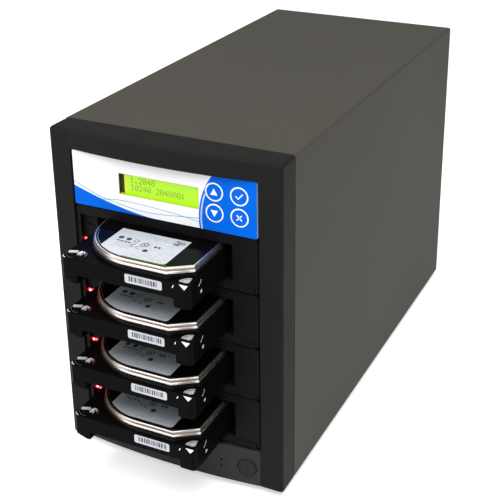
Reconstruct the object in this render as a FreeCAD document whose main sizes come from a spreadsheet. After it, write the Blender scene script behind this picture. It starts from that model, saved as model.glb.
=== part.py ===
"""Drive duplicator: a tower with four open bays that copy one bare disk to three others.

Millimetres.  X runs to the right, Y to the back and Z up.  The origin lies under the middle
of the whole object, on the surface that its feet stand on.  Every sub-part is drawn in the
"front frame", whose zero is the middle of the bezel's lower front edge, and its Placement
carries it to the object's own frame.
"""
import FreeCAD, Part
import collections
import math
import os
import Sketcher

DIMENSIONS = [
    # outer case
    ("case_depth", 390.0), ("top_rail", 14.8),
    ("steel", 1.0), ("bend", 2.0), ("hem", 9.0), ("rear_flange", 10.0),
    ("sheet_gap", 0.2), ("seam_gap", 1.0),
    ("foot_height", 5.0), ("foot_radius", 9.0), ("foot_top_radius", 7.5),
    ("foot_inset", 24.0),
    # moulded front
    ("bezel_depth", 20.5), ("column_width", 17.5), ("moulding", 2.5), ("top_bow", 5.0),
    ("edge_round", 2.5), ("rail_round", 3.0),
    ("lower_panel_height", 31.2), ("lower_panel_depth", 13.8), ("lower_bow", 4.5),
    ("panel_gap", 0.4),
    # bays
    ("bay_pitch", 43.2), ("bay_gap", 1.0), ("bay_width", 148.0), ("bay_side_gap", 1.5),
    ("face_overhang", 1.0),
    ("face_step", 1.2), ("face_depth", 9.0), ("face_corner", 2.5), ("lip_height", 3.0),
    ("lip_low", 0.5),
    ("slot_low", 6.2), ("slot_height", 28.8), ("slot_side", 5.5), ("slot_far_side", 5.4),
    ("mouth_chamfer", 0.9),
    ("lamp_recess", 3.6), ("lamp_height", 13.0), ("lamp_edge", 5.1), ("lamp_spacing", 2.8),
    ("lamp_half", 1.1), ("lamp_fit", 0.15), ("lamp_length", 9.0), ("mark_width", 6.0),
    ("mark_height", 2.0), ("mark_edge", 9.4), ("mark_level", 26.1), ("mark_depth", 0.6),
    ("shell_wall", 1.5), ("shell_height", 40.0), ("shell_base", 0.6), ("shell_behind", 8.2),
    ("guide_height", 24.0), ("guide_wall", 2.0), ("guide_gap", 0.4), ("rail_width", 5.0),
    ("drive_lift", 1.9), ("backplane_gap", 8.5), ("board_thick", 1.6), ("board_fit", 0.2),
    ("backplane_height", 34.0),
    # bare drive
    ("drive_width", 101.6), ("drive_length", 147.0), ("drive_height", 26.1),
    ("flange_height", 18.6), ("drive_proud", 49.5), ("drive_place", -2.7),
    ("drive_corner", 3.0), ("platter_radius", 49.5), ("platter_place", 50.5), ("lid_edge", 1.0),
    ("lid_left", 2.5), ("lid_chamfer_long", 16.0), ("lid_chamfer_deep", 11.0),
    ("lid_rear", 10.0), ("lid_step", 1.1), ("lid_first", 3.0), ("lid_second", 2.6),
    ("lid_corner", 4.0),
    ("board_bay_edge", 7.0), ("board_bay_front", 24.0), ("board_bay_rear", 13.0),
    ("board_bay_depth", 5.5), ("nose_left", 13.0), ("nose_right", 12.0), ("nose_rise", 6.5),
    ("foot_cut", 10.0), ("foot_cut_rise", 3.5),
    ("side_hole_front", 16.9), ("side_hole_pitch", 101.6), ("side_hole_level", 6.35),
    ("side_hole_radius", 1.6), ("side_hole_depth", 4.0),
    ("corner_pad", 1.2), ("corner_pad_long", 10.5), ("corner_pad_deep", 7.5),
    ("corner_pad_sink", 0.8),
    ("plug_width", 43.0), ("plug_place", 26.0), ("plug_low", 1.0), ("plug_height", 6.6),
    ("plug_depth", 13.0), ("plug_wall", 1.4), ("plug_socket", 8.0), ("plug_fit", 0.5),
    ("chip_side", 14.0), ("chip_thick", 1.3), ("chip_left", 26.0), ("chip_right", 52.0),
    ("chip_front", 52.0), ("chip_back", 78.0),
    # control panel
    ("plate_front", 0.5), ("plate_thick", 2.0), ("plate_corner", 1.0),
    ("window_gap", 12.3), ("window_width", 64.6), ("window_rise", 14.3),
    ("window_height", 16.1),
    ("key_edge", 13.3), ("key_pitch_wide", 19.2), ("key_rise", 13.7), ("key_pitch_tall", 15.8),
    ("key_radius", 5.8), ("key_fit", 0.3), ("key_flange", 6.7), ("key_flange_thick", 0.9),
    ("key_proud", 0.3), ("key_travel", 0.4),
    ("keypad_back", 6.5), ("keypad_post", 1.8), ("keypad_margin", 8.6),
    ("keypad_margin_tall", 9.6), ("tact_side", 6.0), ("tact_cap", 1.7),
    ("tact_cap_thick", 0.3), ("tact_gap", 0.1),
    ("display_margin", 3.2), ("display_margin_tall", 4.2), ("display_depth", 6.0),
    ("display_board_margin", 4.0), ("display_board_rise", 5.0),
    ("glass_set", 0.6), ("glass_thick", 2.0), ("glass_fit", 0.1),
    ("bracket_margin", 0.5), ("bracket_height", 40.0),
    ("control_board_width", 128.0), ("control_board_depth", 76.0),
    ("control_board_front", 18.0), ("standoff", 5.0), ("standoff_radius", 2.6),
    ("processor_side", 25.0), ("processor_thick", 3.2), ("memory_side", 12.6),
    ("memory_thick", 1.6), ("memory_place", 32.0), ("data_plug_wide", 14.2),
    ("data_plug_deep", 5.0), ("data_plug_height", 7.0), ("data_plug_pitch", 21.4),
    # power button
    ("button_side", 11.1), ("button_level", 14.4), ("button_radius", 7.4), ("button_fit", 0.4),
    ("button_tab", 9.4), ("button_tab_half", 5.0), ("button_tab_thick", 1.4),
    ("button_proud", 0.8), ("button_edge", 0.6), ("button_stem", 2.0),
    ("button_stem_reach", 0.9), ("button_travel", 2.5), ("boss_radius", 9.9),
    ("boss_end", 4.5), ("boss_start", 0.3),
    ("pilot_gap", 20.6), ("pilot_low", 11.0), ("pilot_high", 16.8), ("pilot_radius", 1.0),
    ("pilot_lamp", 1.4),
    ("switch_board_front", 10.8), ("switch_side", 8.0), ("switch_gap", 0.3),
    ("switch_post", 2.4),
    # power supply
    ("supply_width", 150.0), ("supply_height", 86.0), ("supply_length", 140.0),
    ("supply_wall", 1.2), ("supply_fan_gap", 3.8), ("supply_fan_level", 43.0),
    ("grille_ring", 2.2), ("grille_slot", 6.0), ("grille_spoke", 3.0), ("grille_first", 11.0),
    ("inlet_edge", 30.0), ("inlet_level", 60.0), ("inlet_width", 24.0), ("inlet_height", 16.4),
    ("inlet_wall", 1.7), ("inlet_flange", 2.9), ("inlet_flange_thick", 2.4),
    ("inlet_depth", 17.0), ("pin_recess", 6.5), ("pin_width", 2.0), ("pin_height", 4.0),
    ("pin_spacing", 7.0), ("pin_rise", 2.0),
    ("rocker_edge", 30.0), ("rocker_level", 26.0), ("rocker_width", 9.8),
    ("rocker_half", 8.0), ("rocker_waist", 5.6), ("rocker_peak", 4.2),
    ("rocker_valley", 3.0), ("rocker_back", 2.0),
    ("rocker_fit", 0.4), ("rocker_sweep_gap", 1.2), ("rocker_wall", 2.3),
    ("rocker_flange", 2.0), ("rocker_depth", 9.0), ("rocker_pin", 1.2), ("rocker_pin_reach", 1.6),
    ("rocker_pin_fit", 0.1), ("rocker_tilt", 9.0), ("rocker_pivot_set", 4.2),
    # fans
    ("fan_size", 80.0), ("fan_depth", 25.0), ("fan_duct", 38.0), ("fan_hub", 17.0),
    ("fan_hole_pitch", 71.5), ("fan_hole_radius", 2.2), ("fan_tip_gap", 1.4),
    ("fan_rotor_depth", 19.0), ("fan_pin", 1.5), ("fan_pin_fit", 0.1),
    ("fan_strut", 5.0), ("fan_strut_thick", 2.6), ("fan_hub_gap", 1.0),
    ("fan_cap", 4.65), ("blade_thick", 1.5), ("blade_wide", 18.0), ("blade_tall", 15.0),
    ("blade_hollow", 2.4), ("blade_root", 1.5), ("case_fan_level", 172.0),
    ("guard_wire", 0.9), ("guard_step", 12.0), ("guard_first", 11.0), ("guard_eye", 4.0),
    # fasteners
    ("screw_shank", 1.7), ("screw_head", 3.4), ("screw_head_thick", 1.8), ("screw_fit", 0.2),
    ("fan_screw_head", 0.9),
    ("screw_reach", 6.0), ("cover_screw_margin", 14.0), ("bay_screw_place", 71.0),
    ("bay_screw_level", 30.0), ("bay_screw_reach", 2.6), ("bay_slot", 7.0),
    # drive cage
    ("cage_depth", 178.0), ("cage_head", 6.0),
    ("vent_width", 60.0), ("vent_height", 3.0), ("vent_pitch", 7.0),
]
BAYS = 5
RACKS = 4
BLADES = 7
VENTS = 3
GUARD_RINGS = 3
GRILLE_RINGS = 3
SIDE_HOLES = 2
LID_STEPS = 3
HEXAGON = 6

document = FreeCAD.newDocument("drive_duplicator")
sheet = document.addObject("Spreadsheet::Sheet", "sizes")
for row, (alias, number) in enumerate(DIMENSIONS, start=1):
    sheet.set("A%d" % row, alias)
    sheet.set("B%d" % row, "%g" % number)
    sheet.setAlias("B%d" % row, alias)
document.recompute()


class Size:
    """A length with its value and the expression that keeps it in the document."""

    def __init__(self, value, text):
        self.value = value
        self.text = text

    def __add__(self, other):
        other = as_size(other)
        return Size(self.value + other.value, "(%s + %s)" % (self.text, other.text))

    def __sub__(self, other):
        other = as_size(other)
        return Size(self.value - other.value, "(%s - %s)" % (self.text, other.text))

    def __mul__(self, other):
        other = as_size(other)
        return Size(self.value * other.value, "(%s * %s)" % (self.text, other.text))

    def __truediv__(self, other):
        other = as_size(other)
        return Size(self.value / other.value, "(%s / %s)" % (self.text, other.text))

    def __neg__(self):
        return as_size(0) - self

    def __radd__(self, other):
        return as_size(other) + self

    def __rsub__(self, other):
        return as_size(other) - self

    def __rmul__(self, other):
        return as_size(other) * self


def as_size(thing):
    """Plain numbers stand for themselves in an expression."""
    if isinstance(thing, Size):
        return thing
    return Size(float(thing), "%g" % thing)


class Sizes:
    """Every cell of the sheet as a Size, by its alias."""


S = Sizes()
for alias, number in DIMENSIONS:
    setattr(S, alias, Size(float(sheet.get(alias)), "sizes." + alias))

# -------------------------------------------------------------------- shared places
OPENING = S.bay_width / 2 + S.bay_side_gap
HALF = OPENING + S.column_width
DEVICE_HALF = S.bay_width / 2 - S.face_overhang
REAR = S.case_depth
REAR_SKIN = REAR + S.steel
TRAY_TOP = S.steel * 2
FRAME_BACK = S.bezel_depth + S.steel
BAY_TOP = S.lower_panel_height + S.bay_pitch * BAYS
ROOF = BAY_TOP + S.top_rail
PLATE_LOW = S.lower_panel_height + S.bay_pitch * RACKS + S.bay_gap / 2
FACE_HEIGHT = S.bay_pitch - S.bay_gap
PLATE_BACK = S.plate_front + S.plate_thick
CAGE_INNER = DEVICE_HALF + S.sheet_gap
DRIVE_LEFT = S.drive_place - S.drive_width / 2
DRIVE_LEVEL = S.slot_low + S.drive_lift
SHELL_LOW = S.shell_base + S.shell_wall
BACKPLANE = S.drive_length - S.drive_proud + S.backplane_gap
SCREW_BACK = REAR_SKIN + S.screw_head_thick
FRONT_SHIFT = (S.drive_proud - SCREW_BACK) / 2
SUPPLY_FRONT = REAR - S.steel - S.supply_length
SUPPLY_BACK = REAR - S.steel
SUPPLY_FAN = S.supply_wall + S.supply_fan_gap + (S.fan_size - S.supply_width) / 2
INLET = S.supply_width / 2 - S.inlet_edge
ROCKER = S.supply_width / 2 - S.rocker_edge
SLOT_LEFT = DRIVE_LEFT - S.slot_side
SLOT_RIGHT = DRIVE_LEFT + S.drive_width + S.slot_far_side
KEY_COLUMN = S.bay_width / 2 - S.key_edge - S.key_pitch_wide
KEY_ROW = PLATE_LOW + S.key_rise
WINDOW_RIGHT = KEY_COLUMN - S.window_gap
WINDOW_LEFT = WINDOW_RIGHT - S.window_width
WINDOW_LOW = PLATE_LOW + S.window_rise
WINDOW_HIGH = WINDOW_LOW + S.window_height
BUTTON = OPENING - S.button_side
PILOT = BUTTON - S.pilot_gap

Ring = collections.namedtuple("Ring", "at radius")
parts = {}


# -------------------------------------------------------------------- helpers
def bind(thing, name, size):
    """Tie one property to the sheet."""
    thing.setExpression(name, as_size(size).text)


def new(kind, name):
    return document.addObject(kind, name)


def block(name, x, y, z):
    """A box from its low and high X, Y and Z."""
    box = new("Part::Box", name)
    for axis, side, (low, high) in zip("xyz", ("Length", "Width", "Height"), (x, y, z)):
        bind(box, side, as_size(high) - low)
        bind(box, "Placement.Base." + axis, low)
    return box


TURNS = {"x": FreeCAD.Rotation(FreeCAD.Vector(0, 1, 0), 90),
         "y": FreeCAD.Rotation(FreeCAD.Vector(1, 0, 0), -90),
         "z": FreeCAD.Rotation()}


def stand(thing, axis, at):
    """Put a primitive's own axis along X, Y or Z, with its base at a point."""
    thing.Placement = FreeCAD.Placement(FreeCAD.Vector(), TURNS[axis])
    for letter, place in zip("xyz", at):
        bind(thing, "Placement.Base." + letter, place)
    return thing


def rod(name, axis, at, radius, length):
    """A cylinder that starts at a point and runs along an axis."""
    cylinder = new("Part::Cylinder", name)
    bind(cylinder, "Radius", radius)
    bind(cylinder, "Height", length)
    return stand(cylinder, axis, at)


def prism(name, axis, at, radius, length):
    """A six-sided bar, as the heads of the screws are."""
    bar = new("Part::Prism", name)
    bar.Polygon = HEXAGON
    bind(bar, "Circumradius", radius)
    bind(bar, "Height", length)
    return stand(bar, axis, at)


def cone(name, axis, at, radius, end_radius, length):
    taper = new("Part::Cone", name)
    bind(taper, "Radius1", radius)
    bind(taper, "Radius2", end_radius)
    bind(taper, "Height", length)
    return stand(taper, axis, at)


def fuse(name, shapes):
    """One solid from several."""
    joined = new("Part::MultiFuse", name)
    joined.Shapes = shapes
    joined.Refine = True
    return joined


def group(name, shapes):
    """Separate solids that share one node."""
    gathered = new("Part::Compound", name)
    gathered.Links = shapes
    return gathered


def cut(name, base, tools):
    """Take tools away from a base."""
    taken = new("Part::Cut", name)
    taken.Base = base
    taken.Tool = tools[0] if len(tools) == 1 else fuse(name + "_tools", tools)
    taken.Refine = True
    return taken


def sub_part(label, thing, right=0, back=0, up=0):
    """Name a sub-part and place it in the object's frame."""
    thing.Label = label
    bind(thing, "Placement.Base.x", right)
    bind(thing, "Placement.Base.y", FRONT_SHIFT + back)
    bind(thing, "Placement.Base.z", S.foot_height + up)
    parts[label] = thing
    return thing


def new_body(name):
    return new("PartDesign::Body", name + "_body")


def sketch_on(body, role, name, height):
    """A sketch on one of the body's own planes, moved along its normal."""
    sketch = body.newObject("Sketcher::SketchObject", name)
    plane = [feature for feature in body.Origin.OriginFeatures if feature.Role == role][0]
    sketch.AttachmentSupport = [(plane, "")]
    sketch.MapMode = "FlatFace"
    bind(sketch, "AttachmentOffset.Base.z", height)
    return sketch


def arc_between(start, stop, centre, radius):
    """The shorter arc between two points, and which of its ends comes first."""
    middle = FreeCAD.Vector(centre[0].value, centre[1].value, 0)
    angles = []
    for point in (start, stop):
        angles.append(math.atan2(point[1].value - middle.y, point[0].value - middle.x))
    circle = Part.Circle(middle, FreeCAD.Vector(0, 0, 1), radius.value)
    if (angles[1] - angles[0]) % (2 * math.pi) < math.pi:
        return Part.ArcOfCircle(circle, angles[0], angles[1]), 1, 2
    return Part.ArcOfCircle(circle, angles[1], angles[0]), 2, 1


def draw(sketch, corners):
    """Draw one closed outline.  A corner (x, y, centre, radius) is reached by an arc."""
    if isinstance(corners, Ring):
        ring(sketch, corners.at, corners.radius)
        return
    corners = [tuple(as_size(v) for v in corner[:2]) + tuple(corner[2:]) for corner in corners]
    limits = []
    edges = []
    for index, start in enumerate(corners):
        stop = corners[(index + 1) % len(corners)]
        if len(stop) == 4:
            centre = tuple(as_size(v) for v in stop[2])
            curve, first, last = arc_between(start, stop, centre, as_size(stop[3]))
        else:
            curve = Part.LineSegment(FreeCAD.Vector(start[0].value, start[1].value, 0),
                                     FreeCAD.Vector(stop[0].value, stop[1].value, 0))
            first, last = 1, 2
        edge = sketch.addGeometry(curve, False)
        edges.append((edge, first, last))
        if len(stop) == 4:
            limits.append((Sketcher.Constraint("Radius", edge, as_size(stop[3]).value), stop[3]))
    for index, (edge, first, last) in enumerate(edges):
        follower = edges[(index + 1) % len(edges)]
        limits.append((Sketcher.Constraint("Coincident", edge, last, follower[0], follower[1]),
                       None))
        for kind, place in zip(("DistanceX", "DistanceY"), corners[index]):
            limits.append((Sketcher.Constraint(kind, -1, 1, edge, first, place.value), place))
    constrain(sketch, limits)


def ring(sketch, at, radius):
    """Draw one circle."""
    x, y = as_size(at[0]), as_size(at[1])
    radius = as_size(radius)
    circle = Part.Circle(FreeCAD.Vector(x.value, y.value, 0), FreeCAD.Vector(0, 0, 1),
                         radius.value)
    edge = sketch.addGeometry(circle, False)
    constrain(sketch, [(Sketcher.Constraint("Radius", edge, radius.value), radius),
                       (Sketcher.Constraint("DistanceX", -1, 1, edge, 3, x.value), x),
                       (Sketcher.Constraint("DistanceY", -1, 1, edge, 3, y.value), y)])


def constrain(sketch, limits):
    """Add constraints together, and tie each one that has a size to the sheet."""
    first = sketch.ConstraintCount
    sketch.addConstraint([limit for limit, size in limits])
    for index, (limit, size) in enumerate(limits):
        if size is not None:
            bind(sketch, "Constraints[%d]" % (first + index), size)


def rectangle(x, y):
    """The corners of a rectangle from its low and high sides."""
    return [(x[0], y[0]), (x[1], y[0]), (x[1], y[1]), (x[0], y[1])]


def rounded(x, y, radius):
    """The corners of a rectangle with round corners."""
    left, right = as_size(x[0]), as_size(x[1])
    low, high = as_size(y[0]), as_size(y[1])
    return [(left + radius, low, (left + radius, low + radius), radius),
            (right - radius, low),
            (right, low + radius, (right - radius, low + radius), radius),
            (right, high - radius),
            (right - radius, high, (right - radius, high - radius), radius),
            (left + radius, high),
            (left, high - radius, (left + radius, high - radius), radius),
            (left, low + radius)]


def square(at, half):
    """The corners of a square round its centre."""
    return rectangle((at[0] - half, at[0] + half), (at[1] - half, at[1] + half))


def hexagon(at, radius):
    """The corners of a six-sided outline."""
    turns = [math.radians(360 * corner / HEXAGON) for corner in range(HEXAGON)]
    return [(at[0] + radius * math.cos(turn), at[1] + radius * math.sin(turn)) for turn in turns]


VIEWS = {"plan": "XY_Plane", "front": "XZ_Plane", "side": "YZ_Plane"}


def pad(body, name, view, span, loops):
    """Add material between two heights: Z in plan, Y from the front, X from the side."""
    low, high = as_size(span[0]), as_size(span[1])
    base = -high if view == "front" else low
    sketch = sketch_on(body, VIEWS[view], name + "_sketch", base)
    for loop in loops:
        draw(sketch, loop)
    feature = body.newObject("PartDesign::Pad", name)
    feature.Profile = sketch
    bind(feature, "Length", high - low)
    return feature


def pocket(body, name, view, span, loops):
    """Take material away between two heights, as pad adds it."""
    low, high = as_size(span[0]), as_size(span[1])
    base = -low if view == "front" else high
    sketch = sketch_on(body, VIEWS[view], name + "_sketch", base)
    for loop in loops:
        draw(sketch, loop)
    feature = body.newObject("PartDesign::Pocket", name)
    feature.Profile = sketch
    bind(feature, "Length", high - low)
    return feature


def revolve(body, name, role, corners, kind="Revolution"):
    """Turn a half section about the upright axis of its sketch."""
    sketch = sketch_on(body, role, name + "_sketch", 0)
    draw(sketch, corners)
    feature = body.newObject("PartDesign::" + kind, name)
    feature.Profile = sketch
    feature.ReferenceAxis = (sketch, ["V_Axis"])
    feature.Angle = 360
    return feature


def repeat_along(body, feature, name, axis, pitch, times):
    """A row of copies of one feature along an axis of the body."""
    row = body.newObject("PartDesign::LinearPattern", name)
    row.Originals = [feature]
    row.Direction = (origin_axis(body, axis), [""])
    row.Occurrences = times
    bind(row, "Length", pitch * (times - 1))
    body.Tip = row
    return row


def repeat_round(body, feature, name, axis, times):
    """Copies of one feature, evenly round an axis of the body."""
    circle = body.newObject("PartDesign::PolarPattern", name)
    circle.Originals = [feature]
    circle.Axis = (origin_axis(body, axis), [""])
    circle.Angle = 360
    circle.Occurrences = times
    body.Tip = circle
    return circle


def origin_axis(body, role):
    return [feature for feature in body.Origin.OriginFeatures if feature.Role == role][0]


def edges_where(feature, test):
    """The names of a feature's edges whose two ends pass a test."""
    document.recompute()
    names = []
    for number, edge in enumerate(feature.Shape.Edges, start=1):
        ends = [vertex.Point for vertex in edge.Vertexes]
        if len(ends) == 2 and test(ends[0], ends[1]):
            names.append("Edge%d" % number)
    return names


def near(a, b):
    return abs(a - as_size(b).value) < 0.01


def dress(body, kind, name, base, size, test):
    """Fillet or chamfer the edges that pass a test."""
    names = edges_where(base, test)
    feature = body.newObject("PartDesign::" + kind, name)
    feature.Base = (base, names)
    bind(feature, "Radius" if kind == "Fillet" else "Size", size)
    return feature


def upright(a, b):
    """An edge that runs along Z."""
    return near(a.x, b.x) and near(a.y, b.y)


# -------------------------------------------------------------------- steel case
def case_cover():
    """The wrap-over cover: one folded sheet with hems below and a flange at the back."""
    body = new_body("case_cover")
    inner = HALF - S.steel
    outer_bend = S.bend
    inner_bend = S.bend - S.steel
    bend_x = HALF - S.bend
    bend_z = ROOF - S.bend
    hem_end = HALF - S.hem
    section = [(-hem_end, 0), (-HALF, 0), (-HALF, bend_z),
               (-bend_x, ROOF, (-bend_x, bend_z), outer_bend), (bend_x, ROOF),
               (HALF, bend_z, (bend_x, bend_z), outer_bend), (HALF, 0), (hem_end, 0),
               (hem_end, S.steel), (inner, S.steel), (inner, bend_z),
               (bend_x, ROOF - S.steel, (bend_x, bend_z), inner_bend),
               (-bend_x, ROOF - S.steel),
               (-inner, bend_z, (-bend_x, bend_z), inner_bend),
               (-inner, S.steel), (-hem_end, S.steel)]
    pad(body, "cover_fold", "front", (S.bezel_depth + S.seam_gap, REAR_SKIN), [section])
    edge = inner - S.rear_flange
    top = ROOF - S.steel
    low = TRAY_TOP
    flange = [(-inner, low), (-edge, low), (-edge, top - S.rear_flange),
              (edge, top - S.rear_flange), (edge, low), (inner, low), (inner, top),
              (-inner, top)]
    pad(body, "cover_rear_flange", "front", (REAR, REAR_SKIN), [flange])
    holes = [Ring(at, S.screw_shank + S.screw_fit) for at in cover_screw_places()]
    pocket(body, "cover_screw_holes", "front", (REAR, REAR_SKIN), holes)
    sub_part("case_cover", body)


def cover_screw_places():
    """Two screws up each side of the back."""
    x = HALF - S.steel - S.rear_flange / 2
    return [(side * x, z) for side in (-1, 1)
            for z in (S.cover_screw_margin, ROOF - S.cover_screw_margin)]


def chassis_tray():
    """The bottom plate with turned-up sides and the upright frame behind the bezel."""
    half = HALF - S.steel - S.sheet_gap * 2
    floor = block("tray_floor", (-half, half), (S.bezel_depth, REAR), (S.steel, TRAY_TOP))
    walls = []
    for side in (-1, 1):
        x = sorted((side * half, side * (half - S.steel)), key=lambda v: v.value)
        walls.append(block("tray_wall", x, (S.bezel_depth, REAR - S.steel),
                           (S.steel, S.steel + S.rear_flange)))
    head = ROOF - S.steel - S.sheet_gap
    body = new_body("tray_frame")
    window = rectangle((-OPENING, OPENING), (S.lower_panel_height - S.bay_gap,
                                             BAY_TOP + S.bay_gap))
    pad(body, "frame_sheet", "front", (S.bezel_depth, FRAME_BACK),
        [rectangle((-half, half), (S.steel, head)), window])
    sub_part("chassis_tray", fuse("tray_joined", [floor, body] + walls))


def rear_panel():
    """The back of the chassis, with its fan hole, vents and power supply window."""
    body = new_body("rear_panel")
    half = HALF - S.steel - S.sheet_gap * 2
    head = ROOF - S.steel - S.sheet_gap
    sheet_outline = rectangle((-half, half), (TRAY_TOP, head))
    fan = S.case_fan_level
    hole = S.screw_shank + S.screw_fit
    loops = [sheet_outline, Ring((0, fan), S.fan_duct)]
    loops += [Ring(at, hole) for at in cover_screw_places() + fan_screw_places()]
    margin = S.rear_flange / 2
    loops.append(rectangle((margin - S.supply_width / 2, S.supply_width / 2 - margin),
                           (TRAY_TOP + margin, TRAY_TOP + S.supply_height - margin)))
    pad(body, "rear_sheet", "front", (REAR - S.steel, REAR), loops)
    low = fan + S.fan_size / 2 + S.vent_pitch
    slot = rectangle((-S.vent_width / 2, S.vent_width / 2), (low, low + S.vent_height))
    vent = pocket(body, "rear_vent", "front", (REAR - S.steel, REAR), [slot])
    repeat_along(body, vent, "rear_vents", "Z_Axis", S.vent_pitch, VENTS)
    sub_part("rear_panel", body)


def bay_cage():
    """A folded bridge over the bays: the racks are screwed to its two sides."""
    body = new_body("bay_cage")
    outer = CAGE_INNER + S.steel
    head = BAY_TOP + S.cage_head
    section = [(-outer, TRAY_TOP), (-CAGE_INNER, TRAY_TOP), (-CAGE_INNER, head - S.steel),
               (CAGE_INNER, head - S.steel), (CAGE_INNER, TRAY_TOP), (outer, TRAY_TOP),
               (outer, head), (-outer, head)]
    pad(body, "cage_fold", "front", (FRAME_BACK, FRAME_BACK + S.cage_depth), [section])
    row = pocket(body, "cage_slot", "side", (-outer, outer),
                 [bay_slot(S.lower_panel_height + S.bay_screw_level)])
    repeat_along(body, row, "cage_slots", "Z_Axis", S.bay_pitch, BAYS)
    sub_part("bay_cage", body)


def bay_slot(level):
    """The adjusting slot for a bay screw, in the cage's side and in what it holds."""
    half = S.screw_shank + S.screw_fit
    return rectangle((S.bay_screw_place - S.bay_slot, S.bay_screw_place + S.bay_slot),
                     (level - half, level + half))


def feet():
    """Four tapered rubber feet under the tray."""
    shapes = []
    for x in (-1, 1):
        for y in (FRAME_BACK + S.foot_inset, REAR - S.foot_inset):
            at = (x * (HALF - S.foot_inset), y, -S.foot_height)
            shapes.append(cone("foot", "z", at, S.foot_top_radius, S.foot_radius,
                               S.foot_height + S.steel))
    sub_part("feet", group("feet_group", shapes))


# -------------------------------------------------------------------- moulded front
def bow_radius(half, rise):
    """The radius of an arc from its half chord and its rise."""
    return (half * half + rise * rise) / (rise * 2)


def front_bezel():
    """The moulded front: two flat columns, a bowed top rail and a web behind the bottom."""
    body = new_body("front_bezel")
    radius = bow_radius(OPENING, S.top_bow)
    outline = [(-HALF, S.bezel_depth), (-HALF, 0), (-OPENING, 0),
               (OPENING, 0, (0, radius - S.top_bow), radius), (HALF, 0), (HALF, S.bezel_depth)]
    blank = pad(body, "bezel_blank", "plan", (0, ROOF), [outline])
    front = -S.top_bow - S.moulding
    bays = pocket(body, "bezel_bays", "front", (front, S.bezel_depth),
                  [rectangle((-OPENING, OPENING), (S.lower_panel_height, BAY_TOP))])
    pocket(body, "bezel_foot_recess", "front", (front, S.lower_panel_depth + S.panel_gap / 2),
           [rectangle((-OPENING, OPENING), (0, S.lower_panel_height))])
    outer = HALF - S.moulding
    inner = OPENING + S.moulding
    top = ROOF - S.moulding
    rail = BAY_TOP + S.moulding
    hollow = [(-outer, S.moulding), (-inner, S.moulding), (-inner, rail), (inner, rail),
              (inner, S.moulding), (outer, S.moulding), (outer, top), (-outer, top)]
    last = pocket(body, "bezel_hollow", "front", (S.moulding, S.bezel_depth), [hollow])
    corners = dress(body, "Fillet", "bezel_edges", last, S.edge_round,
                    lambda a, b: upright(a, b) and near(abs(a.x), HALF) and near(a.y, 0))
    dress(body, "Fillet", "bezel_brow", corners, S.rail_round,
          lambda a, b: near(a.z, ROOF) and near(b.z, ROOF)
          and max(a.y, b.y) < S.edge_round.value / 2)
    sub_part("front_bezel", body)


def lower_front_panel():
    """The bowed panel below the bays: power button, two pilot holes, hollow behind."""
    body = new_body("lower_front_panel")
    half = OPENING - S.panel_gap
    top = S.lower_panel_height - S.panel_gap
    radius = bow_radius(half, S.lower_bow)
    centre = (0, radius - S.lower_bow)
    outline = [(-half, S.lower_panel_depth), (-half, 0), (half, 0, centre, radius),
               (half, S.lower_panel_depth)]
    pad(body, "panel_blank", "plan", (0, top), [outline])
    inner = half - S.moulding
    cavity = [(-inner, S.lower_panel_depth), (-inner, S.moulding),
              (inner, S.moulding, (0, centre[1] + S.moulding), radius),
              (inner, S.lower_panel_depth)]
    pocket(body, "panel_cavity", "plan", (S.moulding, top - S.moulding), [cavity])
    button = (BUTTON, S.button_level)
    pad(body, "button_boss", "front", (S.boss_start, S.boss_end), [Ring(button, S.boss_radius)])
    posts = [square(at, S.switch_post) for at in switch_post_places()]
    pad(body, "switch_posts", "front", (-S.lower_bow / 2, S.switch_board_front), posts)
    front = -S.lower_bow
    clear = S.button_radius + S.button_fit
    pocket(body, "button_hole", "front", (front, S.boss_end), [Ring(button, clear)])
    pilots = [Ring((PILOT, z), S.pilot_radius) for z in (S.pilot_low, S.pilot_high)]
    pocket(body, "pilot_holes", "front", (front, S.boss_end), pilots)
    sub_part("lower_front_panel", body)


def switch_post_places():
    """Two posts left of the button that carry the switch board."""
    x = PILOT - S.switch_side
    return [(x, S.moulding * 2), (x, S.lower_panel_height - S.panel_gap - S.moulding * 2)]


def power_button():
    """A round flat button with a bevelled edge; two tabs behind the boss hold it in."""
    body = new_body("power_button")
    front = -(S.lower_bow / 4) - S.button_proud
    back = S.boss_end + S.button_tab_thick
    end = back + S.button_stem_reach
    radius = S.button_radius
    section = [(0, front), (radius - S.button_edge, front), (radius, front + S.button_edge),
               (radius, back), (0, back)]
    revolve(body, "button_turn", "XY_Plane", section)
    tabs = rectangle((-S.button_tab_half, S.button_tab_half), (-S.button_tab, S.button_tab))
    pad(body, "button_tabs", "front", (S.boss_end, back), [tabs])
    pad(body, "button_stem", "front", (back, end), [square((0, 0), S.button_stem)])
    sub_part("power_button", body, right=BUTTON, up=S.button_level)


def front_switch_board():
    """The small board behind the power button: its switch and two pilot lamps."""
    front = S.switch_board_front
    low = S.moulding + S.panel_gap
    high = S.lower_panel_height - S.panel_gap * 2 - S.moulding
    left = PILOT - S.switch_side - S.switch_post * 2
    right = OPENING - S.panel_gap * 2 - S.moulding
    board = block("switch_sheet", (left, right), (front, front + S.board_thick), (low, high))
    half = S.switch_side / 2
    cap = (S.boss_end + S.button_tab_thick + S.button_stem_reach + S.button_travel
           + S.switch_gap)
    switch = block("switch_case", (BUTTON - half, BUTTON + half), (cap, front),
                   (S.button_level - half, S.button_level + half))
    lamps = [block("pilot_lamp", (PILOT - S.pilot_lamp, PILOT + S.pilot_lamp),
                   (S.boss_end, front), (z - S.pilot_lamp, z + S.pilot_lamp))
             for z in (S.pilot_low, S.pilot_high)]
    sub_part("front_switch_board", fuse("switch_joined", [board, switch] + lamps))


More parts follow.
